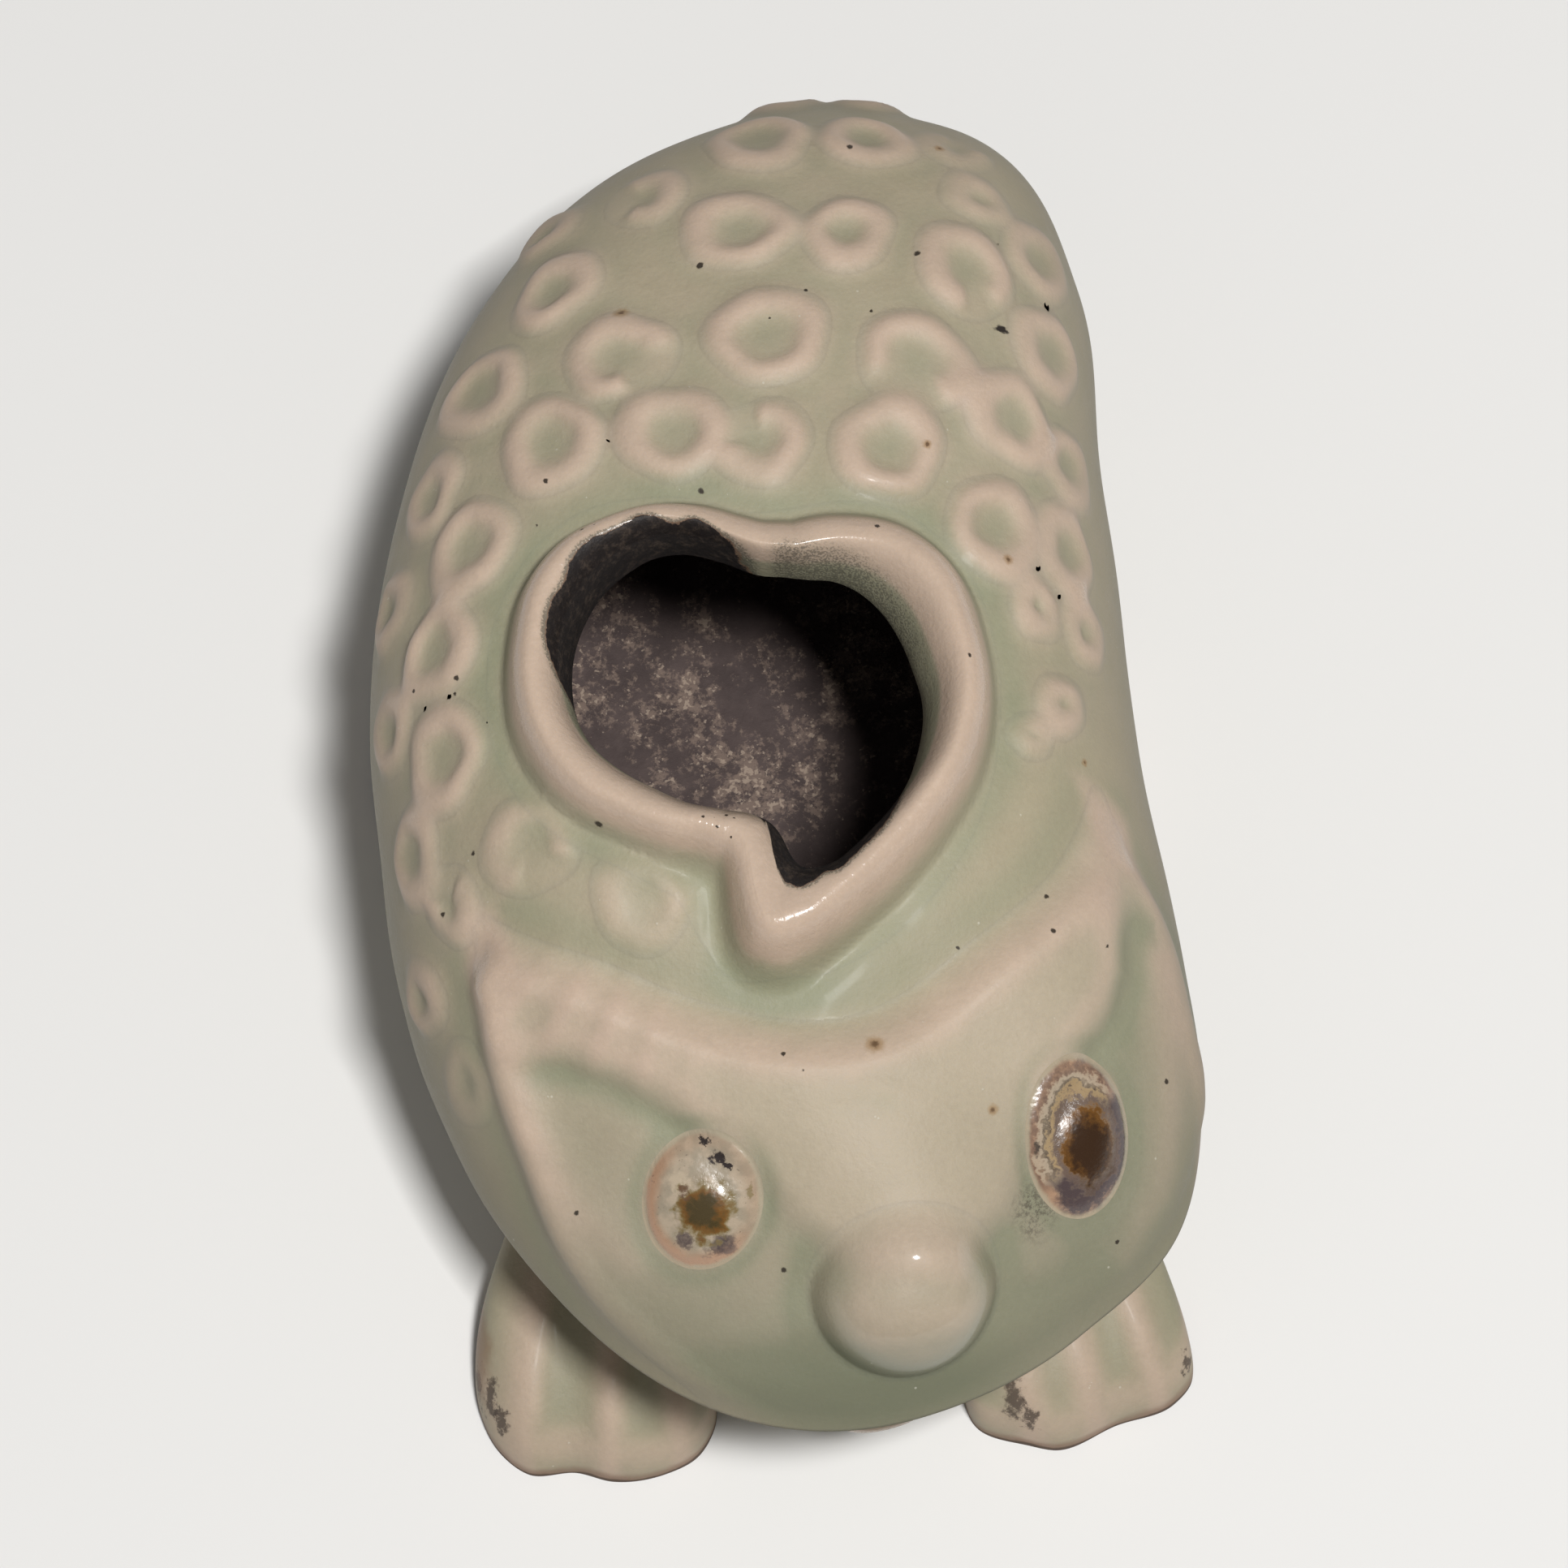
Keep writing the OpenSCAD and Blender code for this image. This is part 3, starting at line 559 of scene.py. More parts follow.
@functools.lru_cache(maxsize=1)
def warts_of(body):
    """Every wart with the name of its group"""
    luck = np.random.default_rng(7)
    return [(group, Wart(body, spec, luck)) for group, specs in WARTS.items() for spec in specs]


def columns_of(body):
    """Azimuths of the mesh's columns, evenly spaced along the girth and closer on the face"""
    fine = np.arange(0, 360.01, 0.25)
    rim = cast(fine, body.reach(fine), 0)
    steps = np.linalg.norm(np.diff(rim, axis=0), axis=1) * (1 + 0.5 * body.headness(fine[:-1]))
    along = np.concatenate([[0], np.cumsum(steps)])
    return np.interp(np.linspace(0, along[-1], COLUMNS, endpoint=False), along, fine)


def mouth_section(body, a):
    """Radius and height of the rows of the filling mouth, from the chamber's roof past the coil"""
    edge, _ = mouth_lines(a)
    end = around(COIL_LIMIT, a)
    roof = body.skin_z(a, edge, body.wall)
    wall = np.linspace(0, 1, MOUTH_WALL_ROWS, endpoint=False)[:, None]
    slope = np.linspace(0, 1, MOUTH_ROWS - MOUTH_WALL_ROWS + 1)[:, None]
    r = np.concatenate([mix(edge + MOUTH_BED, edge, wall**0.6), mix(edge, end, slope)])
    z = np.concatenate([roof + MOUTH_LIP * wall**1.6, 0 * slope + roof + MOUTH_LIP])
    return np.stack([r, z], axis=-1), end


def mouth_lines(a):
    """Radii of the mouth's edge and of the coil's crest"""
    edge = around(MOUTH_PLAN, a)
    crest = np.maximum(around(CREST_PLAN, a), edge + 0.7)
    return edge, crest


def gap_to_ring(points, ring):
    """Distance on the plan from each point to a closed line, and the place on the line"""
    start = ring
    along = np.roll(ring, -1, 0) - ring
    length_2 = (along**2).sum(axis=1)
    best = np.empty(len(points))
    where = np.empty(len(points), int)
    for first in range(0, len(points), 4000):
        part = points[first : first + 4000]
        gap = part[:, None, :] - start
        t = np.clip((gap * along).sum(axis=2) / length_2, 0, 1)
        far = np.linalg.norm(gap - along * t[..., None], axis=2)
        where[first : first + 4000] = far.argmin(axis=1)
        best[first : first + 4000] = far.min(axis=1)
    return best, where


def raise_coil(body, points, azimuth):
    """Sets the heights of the coil and of the slope inside it, by the distance from its crest.

    Returns the distance outside the crest and its share of the coil's width, below 0 inside the crest.
    """
    fine = np.arange(0, 360, 0.5)
    edge, crest = mouth_lines(fine)
    top = body.back_height + body.coil_height + 0.1
    r = np.hypot(points[..., 0], points[..., 1])
    row = np.arange(len(points))[:, None] + 0 * r
    near = (row >= MOUTH_WALL_ROWS) & (row < GIRTH_ROW) & (r < 20)
    flat = points[near]
    edge_gap, _ = gap_to_ring(flat[:, :2], cast(fine, edge, 0)[:, :2])
    crest_gap, place = gap_to_ring(flat[:, :2], cast(fine, crest, 0)[:, :2])
    a = azimuth[near]
    here_edge, here_crest = mouth_lines(a)
    inside = r[near] < here_crest
    lip = body.skin_z(a, here_edge, body.wall) + MOUTH_LIP
    t = crest_gap / np.maximum(crest_gap + edge_gap, 1e-6)
    gentle = ease((64 - away(a, 110)) / 30)
    slope = lip + (top - lip) * (1 - np.clip(t, 0, 1) ** mix(2.1, 1.8, gentle)) ** mix(0.55, 0.75, gentle)
    skin = body.skin_z(a, r[near])
    width = around(COIL_WIDTHS, fine[place])
    back = skin + (top - skin) * rounded(crest_gap / width, 0.35) ** 0.6
    flat[:, 2] = np.where(inside, slope, back)
    points[near] = flat
    gap = np.full(r.shape, 99.0)
    share = np.full(r.shape, 99.0)
    gap[near] = np.where(inside, -crest_gap, crest_gap - width)
    share[near] = np.where(inside, -t, crest_gap / width)
    gap[row < MOUTH_WALL_ROWS] = -9
    share[row < MOUTH_WALL_ROWS] = -1
    # The corners beside the spur are filled softly
    soft = ease((24 - away(azimuth, -8)) / 8) * (r > 9.4) * (share > -0.05) * (row > MOUTH_WALL_ROWS + 2)
    z = points[..., 2]
    for _ in range(7):
        mean = (np.roll(z, 3, 1) + np.roll(z, -3, 1) + np.roll(z, 1, 0) + np.roll(z, -1, 0)) / 4
        z = mix(z, mean, soft * (row < MOUTH_ROWS + 20))
    points[..., 2] = z
    return gap, share


def skin_sections(body, a):
    """Radius and height of each row and column of the plain skin"""
    mouth, start = mouth_section(body, a)
    sweep = np.linspace(0, 1, 300)[:, None]
    reach = body.reach(a)
    out_round = mix(BACK_ROUND, FACE_ROUND, body.headness(a))
    first = np.arcsin(np.clip((start / reach) ** (out_round / 2), 0, 1))
    turn = mix(first, math.pi / 2, sweep)
    r = reach * np.sin(turn) ** (2 / out_round)
    r[0] = start
    r[-1] = reach
    back = evenly(np.stack([r, body.skin_z(a, r)], axis=-1), BACK_ROWS)
    roll = np.linspace(0, math.pi / 2, 60)[:, None]
    edge = body.edge_h(a)
    h = edge - LIP_ROLL * np.sin(roll)
    under = np.stack([body.wall_r(a, h) + body.lip_over * body.lipness(a) * np.cos(roll), h], axis=-1)
    h = mix(edge - LIP_ROLL, body.floor, np.linspace(0, 1, 80)[1:, None])
    wall = np.stack([body.wall_r(a, h), h], axis=-1)
    lower = evenly(np.concatenate([under, wall]), WALL_ROWS)
    return np.concatenate([mouth, back[1:], lower[1:]])


def snap(points, level, locked):
    """Moves grid points along the grid onto the outline where the level is 0"""
    value = level(points)
    best = np.full(value.shape, 9.0)
    target = points.copy()
    for axis in (0, 1):
        near_value = np.roll(value, -1, axis)
        near = np.roll(points, -1, axis)
        crossing = value * near_value < 0
        if axis == 0:
            crossing[-1] = False
        t = np.where(crossing, value / np.where(crossing, value - near_value, 1), 9.0)
        meet = points + (near - points) * np.clip(t, 0, 1)[..., None]
        ours = crossing & (t <= 0.5) & (t < best)
        best = np.where(ours, t, best)
        target[ours] = meet[ours]
        back_t = np.roll(np.where(crossing & (t > 0.5), 1 - t, 9.0), 1, axis)
        theirs = back_t < best
        best = np.where(theirs, back_t, best)
        target[theirs] = np.roll(meet, 1, axis)[theirs]
    moved = (best < 1) & ~locked
    points[moved] = target[moved]
    return moved


def grid_normals(points):
    """Outward normals of a grid whose columns close round"""
    along = np.roll(points, -1, 1) - np.roll(points, 1, 1)
    down = np.empty_like(points)
    down[1:-1] = points[2:] - points[:-2]
    down[0] = points[1] - points[0]
    down[-1] = points[-1] - points[-2]
    return unit(np.cross(down, along))


def mesh_normals(points, triangles):
    """Smooth vertex normals of a triangle mesh"""
    a, b, c = (points[triangles[:, k]] for k in range(3))
    face = np.cross(b - a, c - a)
    total = np.zeros_like(points)
    for k in range(3):
        for axis in range(3):
            total[:, axis] += np.bincount(triangles[:, k], face[:, axis], len(points))
    return unit(total)


def grid_triangles(rows, columns, closed, flipped=None):
    """Triangles of a grid, with the other diagonal in the flipped cells"""
    i, j = np.meshgrid(np.arange(rows - 1), np.arange(columns if closed else columns - 1), indexing="ij")
    a = i * columns + j
    b = i * columns + (j + 1) % columns
    c = (i + 1) * columns + (j + 1) % columns
    d = (i + 1) * columns + j
    plain = np.stack([np.stack([a, c, b], -1), np.stack([a, d, c], -1)], 2)
    if flipped is not None:
        other = np.stack([np.stack([a, d, b], -1), np.stack([b, d, c], -1)], 2)
        plain = np.where(flipped[..., None, None], other, plain)
    return plain.reshape(-1, 3)


class Relief:
    """Height of the clay over the plain skin at each point, and its glaze: thin, pooled and creamy"""

    def __init__(self, body, points, azimuth):
        self.body = body
        self.points = points
        self.azimuth = azimuth
        self.x, self.y, self.z = (points[..., k] for k in range(3))
        self.r = np.hypot(self.x, self.y)
        self.row = np.arange(len(points))[:, None] + 0 * self.x
        self.above = self.row <= GIRTH_ROW
        self.height, self.thin, self.pool, self.cream, self.face = np.zeros((5, *self.r.shape))

    def lay_coil(self, gap, across):
        """Coil round the filling mouth: thin glaze on its crest, and a pool at its foot"""
        top = self.body.back_height
        inner = across < 0
        crest = ease((self.z - top + 0.7) / 1.1) * (self.row > MOUTH_WALL_ROWS)
        self.thin += 0.9 * np.where(inner, crest, ease((1.12 - across) / 0.5))
        self.cream += 0.8 * np.where(inner, 1, ease((1.6 - across) / 0.8))
        valley = bump((gap - 0.9) / 1.3) * ease((across - 0.8) / 0.3)
        self.pool += 0.75 * np.where(inner, ease((top + 0.25 - self.z) / 0.9), valley)
        self.height -= np.where(inner, 0, 0.16 * bump((gap - 0.3) / 1.1))

    def lay_plate(self):
        """Face plate with its rounded border, which runs out into the lip"""
        body = self.body
        self.crown_gap, cheek_gap, end_gap, v = plate_sides(body, self.azimuth, self.r)
        turn = signed_away(self.azimuth, 15)
        body_side = ease((np.abs(turn) - 20) / 20)
        self.at_lip = ease((self.row - GIRTH_ROW + 16) / 16)
        end_rise = ease(end_gap / np.where(turn < 0, 3.5, 9.0))
        rise = ease(self.crown_gap / 2.7) * ease((cheek_gap + 1.2) / 3.0) * end_rise
        thick = body.plate + body.crown * (1 - ease(v / 0.7))
        self.face += thick * rise * mix(1, 0.35, self.at_lip)
        edge = -np.minimum(np.minimum(self.crown_gap, cheek_gap + 0.2), end_gap)
        self.on_face = np.where(self.above, ease((-edge - 0.4) / 2.0), 0)
        self.cream += np.where(self.above, ease(-edge / 1.5 + 0.3), 0) * 0.85
        crown_line = bump((self.crown_gap - 2.1) / 1.5) * ease((end_gap + 1) / 3)
        cheek_line = bump((cheek_gap - 1.2) / 1.4) * body_side * ease((end_gap + 1.5) / 2)
        self.thin += np.where(self.above, 0.6 * crown_line + 0.5 * cheek_line, 0)
        near_end = ease((end_gap + 2) / 3)
        crown_foot = bump((self.crown_gap + 0.9) / 1.4) * near_end
        # Painted shade, partly also pooled glaze: the foot of the cheek border is greened to stand for the
        # shade below its step
        cheek_foot_pool_and_shade = bump((cheek_gap + 1.2) / 0.9) * near_end
        self.pool += np.where(self.above, 0.55 * crown_foot + 0.6 * cheek_foot_pool_and_shade * body_side, 0)
        self.face += np.where(turn < 0, 0.65, 0.15) * cheek_line * ease((self.crown_gap - 1.5) / 2)

    def lay_folds(self):
        """Soft folds that run down from the crown"""
        folds = np.cos(np.radians(self.azimuth) * 48) * bump((self.azimuth + 27) / 17)
        folds = folds * bump((self.crown_gap - 3.2) / 3.0)
        self.face += 0.08 * folds
        self.thin += np.where(self.above, 0.22 * np.clip(folds, 0, 1), 0)

    def lay_brow(self):
        """Raised forehead over the cheeks"""
        brow = polyline_side(self.x, self.y, BROW_LINE)
        runs_in = np.where(self.x > 14, ease((-8.5 - self.y) / 5), 1)
        self.face -= self.body.brow * (1 - ease((brow + 1.1) / 2.2)) * self.on_face * runs_in
        groove = bump((brow + 1.1) / 0.9) * self.on_face * ease((self.r - 21.5) / 2.0) * runs_in
        near_left = ease((10 - np.hypot(self.x + 6, self.y + 22)) / 4)
        near_right = ease((9 - np.hypot(self.x - 20.5, self.y + 17)) / 4)
        near = near_left + near_right
        self.face -= 0.3 * groove * near
        self.pool += 0.75 * groove * (0.45 + 0.55 * near)
        self.thin += 0.45 * bump((brow - 0.9) / 1.0) * self.on_face * near
        self.pool += 0.22 * (1 - ease((brow + 1.5) / 3)) * self.on_face

    def lay_eye_ridges(self):
        """Ridges outside the eyes, with a groove between the right one and its eye"""
        ridge = polyline_side(self.x, self.y, RIGHT_RIDGE)
        self.face += 0.25 * bump(ridge / 1.3) * self.on_face
        self.thin += 0.42 * bump(ridge / 1.1) * self.on_face
        self.pool += 0.5 * bump((ridge + np.where(self.x < 24, 2.3, 9)) / 1.0) * self.on_face
        ridge = polyline_side(self.x, self.y, LEFT_RIDGE)
        self.face += 0.3 * bump(ridge / 1.3) * self.on_face
        self.thin += 0.35 * bump(ridge / 1.1) * self.on_face

    def lay_dish_and_low_shade(self):
        """Green dish under the nose and the eyes, above the lip, and greener glaze over the lower face and
        the lower wall that is partly painted shade
        """
        low = ease((self.r - 35.2) / 2.0) * bump(away(self.azimuth, LIP_AZ) / 30) * self.on_face
        self.pool += 0.6 * low * (1 - self.at_lip)
        self.face -= 0.25 * low * (1 - self.at_lip)
        # Painted shade, partly also greener glaze: more pooled colour over the lower face and on the wall
        # from 27 mm down, where the light falls off
        self.pool += 0.3 * ease((self.r - 30) / 6) * self.on_face
        self.pool += 0.28 * ease((27 - self.z) / 9) * (self.row > MOUTH_ROWS)

    def lay_ripples(self):
        """Throwing ripples on the forehead"""
        ripple_r = np.hypot(self.x - 7.2, self.y + 30.0)
        ripple = np.cos(ripple_r * 2 * math.pi / 1.9)
        spread = bump((ripple_r - 8.0) / 1.8)
        self.face += 0.035 * ripple * spread * bump((self.x - 7.2) / 3.0) * self.on_face
        ripple = ripple * spread * bump((self.x - 7.2) / 3.0)
        self.pool += 0.12 * (1 - ripple) * spread * bump((self.x - 7.2) / 2.2) * self.on_face

    def lay_nose(self):
        """Nose knob, with the forehead running down into its top"""
        radius = self.body.nose_radius
        u, w = Oval(self.body, NOSE_AT, (radius, radius, 0)).place(self.points)
        q = np.hypot(u, w * mix(1, 0.8, ease(w / 0.9)))
        dome = rounded(q, 0.14) ** mix(0.56, 1.1, ease((w - 0.1) / 0.9))
        fall = 1 - ease((w - 0.3) / 3.0)
        bridge = 0.5 * fall * ease((w + 0.1) / 0.7) * bump(u / (0.75 + 0.3 * np.clip(w, 0, None)))
        near = np.where(self.above & (q < 3.8), 1.0, 0.0)
        self.face += near * self.body.nose_height * (dome**3 + bridge**3) ** (1 / 3)
        low_side = 1 - ease((w - 0.2) / 0.8)
        self.cream += near * 0.5 * ease((1.1 - q) / 0.3)
        self.pool += near * 0.7 * bump((q - 1.22) / 0.16) * low_side
        self.thin += near * 0.5 * ease((1.05 - q) / 0.5)

    def lay_face(self):
        """Sets the whole face on the skin, run out under the lip"""
        self.height += np.where(self.above, self.face * ease((GIRTH_ROW - self.row) / 9), 0)

    def lay_eye(self, eye):
        """Eye with its pupil"""
        u, w = Oval(self.body, eye["at"], eye["size"]).place(self.points)
        q = np.hypot(u, w)
        near = np.where(self.above & (q < 2.2), 1.0, 0.0)
        lid = np.clip(1 - q**2.6, 0, 1) ** 0.75
        self.height += near * (self.body.eye_height * lid - 0.07 * bump((q - 1.15) / 0.15))
        self.pool += near * 0.55 * bump((q - 1.2) / 0.16)
        self.cream += near * 0.3 * ease((1 - q) / 0.2)
        u, w = Oval(self.body, eye["at"], eye["pupil"], eye["shift"]).place(self.points)
        self.height += near * self.body.pupil_height * np.clip(1 - np.hypot(u, w) ** 2, 0, 1)

    def lay_wart(self, wart):
        """Wart ring on a soft swelling, with glaze pooled in its middle"""
        near = np.linalg.norm(self.points - wart.middle, axis=-1) < wart.radius * 2.1
        rho, angle = wart.measure(self.points[near])
        ring = wart.radius - WART_RIDGE / 2
        wide = 0.95 * (1 + 0.16 * np.cos(angle + wart.phases[3]))
        ridge = np.exp(-np.abs((rho - ring) / wide) ** 2.2)
        if wart.gap > 0:
            middle = wart.first + wart.gap / 2
            turn = np.abs((angle - middle + math.pi) % (2 * math.pi) - math.pi)
            ridge = ridge * ease((turn - wart.gap / 2 + 0.35) / 0.5)
        ridge = ridge * (1 + 0.14 * np.cos(2 * angle + wart.phases[4])) * wart.high
        self.height[near] += self.body.wart_height * ridge - 0.1 * bump(rho / (ring * 0.55)) * wart.high
        self.height[near] += self.body.swelling * bump(rho / (wart.radius * 1.05)) * wart.high
        self.thin[near] += 0.76 * np.clip(ridge, 0, 1) ** 0.85
        self.cream[near] += 0.6 * bump(rho / (wart.radius * 1.3))
        self.pool[near] += 0.6 * bump(rho / (ring * 0.62)) * wart.high
        self.pool[near] += 0.2 * bump((rho - wart.radius - 1.0) / 0.8) * wart.high

    def lay_unevenness(self):
        """Gentle unevenness of hand-worked clay, away from the mouth, the lip edge and the foot"""
        x, y, z = self.x, self.y, self.z
        lip = self.body.lipness(self.azimuth)
        self.thin += 0.45 * bump((self.row - GIRTH_ROW - 2) / 3.0) * lip
        wave = np.sin(x * 0.31 + 1.3) * np.cos(y * 0.27 + z * 0.21)
        wave += 0.6 * np.sin(x * 0.62 - y * 0.48 + 2.0) * np.cos(z * 0.55 + 0.7)
        from_foot = len(self.row) - 1 - self.row
        calm = ease((self.row - MOUTH_WALL_ROWS) / 20) * ease(from_foot / 12)
        self.height += 0.07 * wave * calm * (1 - lip * bump((self.row - GIRTH_ROW) / 9))


def relief(body, points, azimuth, coil):
    """Height over the plain skin and glaze values of every clay form"""
    made = Relief(body, points, azimuth)
    made.lay_coil(*coil)
    made.lay_plate()
    made.lay_folds()
    made.lay_brow()
    made.lay_eye_ridges()
    made.lay_dish_and_low_shade()
    made.lay_ripples()
    made.lay_nose()
    made.lay_face()
    for eye in EYES.values():
        made.lay_eye(eye)
    for _, wart in warts_of(body):
        made.lay_wart(wart)
    made.lay_unevenness()
    return made.height, *(np.clip(value, 0, 1) for value in (made.thin, made.pool, made.cream))


@functools.lru_cache(maxsize=1)
def master_skin(body):
    """The whole glazed skin as one fine mesh, with what each clay piece needs to be cut out of it"""
    azimuth = columns_of(body)
    sections = skin_sections(body, azimuth)
    points = cast(azimuth[None, :], sections[..., 0], sections[..., 1])
    coil = raise_coil(body, points, azimuth[None, :] + 0 * points[..., 0])
    rows, count = points.shape[:2]
    row = np.arange(rows)[:, None] + np.zeros((1, count))
    warts = warts_of(body)

    def azimuth_of(p):
        return np.degrees(np.arctan2(p[..., 0], -p[..., 1]))

    def mask_level(p):
        level = plate_level(body, azimuth_of(p), np.hypot(p[..., 0], p[..., 1]))
        return np.where(row > GIRTH_ROW + 0.5, 5.0, level)

    def wart_levels(p):
        best = np.full(p.shape[:-1], 9.0)
        group = np.full(p.shape[:-1], -1)
        names = list(WARTS)
        for name, wart in warts:
            near = np.linalg.norm(p - wart.middle, axis=-1) < wart.radius * 2
            rho, _ = wart.measure(p[near])
            level = rho - wart.radius - 0.3
            closer = level < best[near]
            spot = np.where(near)
            best[spot[0][closer], spot[1][closer]] = level[closer]
            group[spot[0][closer], spot[1][closer]] = names.index(name)
        return best, group

    nose = Oval(body, NOSE_AT, (body.nose_radius * 1.12, body.nose_radius * 1.12, 0))
    levels = {
        "head_mask": mask_level,
        "warts": lambda p: wart_levels(p)[0],
        "nose_knob": nose.level,
    }
    for side, eye in EYES.items():
        size = eye["size"]
        wide = Oval(body, eye["at"], (size[0] * 1.06, size[1] * 1.06, size[2]))
        levels[side + "_eye"] = wide.level
        levels[side + "_pupil"] = Oval(body, eye["at"], eye["pupil"], eye["shift"]).level

    locked = np.zeros((rows, count), bool)
    locked[[0, MOUTH_WALL_ROWS, MOUTH_ROWS, GIRTH_ROW, rows - 1]] = True
    on = {}
    for name in ("left_pupil", "right_pupil", "left_eye", "right_eye", "nose_knob", "head_mask", "warts"):
        moved = snap(points, levels[name], locked)
        locked |= moved
        on[name] = moved
    values = {}
    flipped = np.zeros((rows - 1, count), bool)
    for name, level in levels.items():
        value = level(points)
        value[on[name]] = 0
        values[name] = value
        here = np.sign(value)
        right = np.roll(here, -1, 1)
        corner_b, corner_d = right[:-1], here[1:]
        corner_a, corner_c = here[:-1], right[1:]
        flipped |= (corner_b == 0) & (corner_d == 0) & (corner_a * corner_c < 0)

    a = azimuth_of(points)
    height, thin, pool, cream = relief(body, points, a, coil)
    outward = grid_normals(points)
    final = points + outward * height[..., None]
    triangles = grid_triangles(rows, count, True, flipped)
    flat = final.reshape(-1, 3)
    normals = mesh_normals(flat, triangles)

    # Depth of each piece's underside below its own skin
    depths = {
        "left_pupil": 0.12, "right_pupil": 0.12, "left_eye": 0.3, "right_eye": 0.3,
        "nose_knob": 0.8, "head_mask": 0.7, "warts": 0.3,
    }
    depth = {name: depths[name] * ease(-values[name] / 0.8) for name in depths}
    group = wart_levels(points)[1]
    return types.SimpleNamespace(
        body=body,
        points=flat,
        normals=normals,
        triangles=triangles,
        rows=rows,
        count=count,
        row=row.ravel(),
        azimuth=a.ravel(),
        thin=thin.ravel(),
        pool=pool.ravel(),
        cream=cream.ravel(),
        values={name: value.ravel() for name, value in values.items()},
        depth={name: value.ravel() for name, value in depth.items()},
        wart_group=group.ravel(),
    )


def bare_of(skin):
    """Bare clay, from 0.5 up, and soot, below 0.4, on the wall of the filling mouth"""
    a = skin.azimuth
    r = np.hypot(skin.points[:, 0], skin.points[:, 1])
    bare = ease((around(BARE_PLAN, a) + 0.25 - r) / 0.9 + 0.5)
    below = ease((MOUTH_WALL_ROWS - 3 - skin.row) / 3)
    reach = (around(MOUTH_PLAN, a) + 2.0 - r) / 2.0
    right = 0.5 + 0.5 * bump(away(a, 152) / 28) + 0.3 * bump(away(a, 118) / 20)
    right = ease((64 - away(a, 112)) / 10) * right
    left = 0.7 * bump(away(a, 278) / 14)
    soot = 0.36 * np.clip(right + left, 0, 1) * ease(reach)
    return np.where(skin.row <= MOUTH_ROWS, np.maximum.reduce([bare, below, soot]), 0)


def part_of(skin, triangles, lift, under=None):
    """One skin patch: the triangles at a depth below the skin, closed by an underside"""
    used, faces = np.unique(triangles, return_inverse=True)
    faces = faces.reshape(-1, 3)
    top = skin.points[used] - skin.normals[used] * lift[used][:, None]
    normals = skin.normals[used]
    glaze = np.stack([skin.thin[used], skin.pool[used], skin.cream[used]], axis=-1)
    bare = bare_of(skin)[used]
    loops = normals[faces].reshape(-1, 3)
    if under is None:
        return top, faces, loops, glaze, bare
    sunk = skin.points[used] - skin.normals[used] * under[used][:, None]
    apart = np.linalg.norm(sunk - top, axis=1) > 1e-6
    below = np.where(apart, len(top) + np.cumsum(apart) - 1, np.arange(len(top)))
    back = below[faces][:, ::-1]
    flat = (back != faces[:, ::-1]).any(axis=1)
    back = back[flat]
    back_normals = -normals[faces][:, ::-1][flat]
    return (
        np.concatenate([top, sunk[apart]]),
        np.concatenate([faces, back]),
        np.concatenate([loops, back_normals.reshape(-1, 3)]),
        np.concatenate([glaze, glaze[apart]]),
        np.concatenate([bare, bare[apart]]),
    )


def build_piece(name, parts, materials, nodes):
    """Makes one object of mesh parts and ties it to the clay pieces that it stands for.

    Each part is its points in millimetres, triangles, a normal for each corner or None, glaze values,
    bare-clay values and the place of its material in the list.
    """
    points, faces, loops, glaze, bare, places = [], [], [], [], [], []
    start = 0
    for part in parts:
        p, f, n, g, b, m = part
        points.append(p)
        faces.append(f + start)
        loops.append(mesh_normals(p, f)[f].reshape(-1, 3) if n is None else n)
        glaze.append(g)
        bare.append(b)
        places.append(np.full(len(f), m))
        start += len(p)
    points = np.concatenate(points)
    faces = np.concatenate(faces)
    mesh = bpy.data.meshes.new(name)
    mesh.vertices.add(len(points))
    mesh.vertices.foreach_set("co", (points * MM).astype(np.float32).ravel())
    mesh.loops.add(len(faces) * 3)
    mesh.loops.foreach_set("vertex_index", faces.astype(np.int32).ravel())
    mesh.polygons.add(len(faces))
    mesh.polygons.foreach_set("loop_start", np.arange(0, len(faces) * 3, 3, dtype=np.int32))
    mesh.polygons.foreach_set("material_index", np.concatenate(places).astype(np.int32))
    for material in materials:
        mesh.materials.append(material)
    mesh.update(calc_edges=True)
    mesh.shade_smooth()
    layer = mesh.attributes.new("glaze", "FLOAT_VECTOR", "POINT")
    layer.data.foreach_set("vector", np.concatenate(glaze).astype(np.float32).ravel())
    layer = mesh.attributes.new("bare", "FLOAT", "POINT")
    layer.data.foreach_set("value", np.concatenate(bare).astype(np.float32))
    mesh.normals_split_custom_set(np.concatenate(loops).astype(np.float32))
    if mesh.validate():
        raise RuntimeError(f"the mesh of {name} has bad faces")
    piece = bpy.data.objects.new(name, mesh)
    bpy.context.scene.collection.objects.link(piece)
    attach(piece, BODY)
    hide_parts(*nodes)


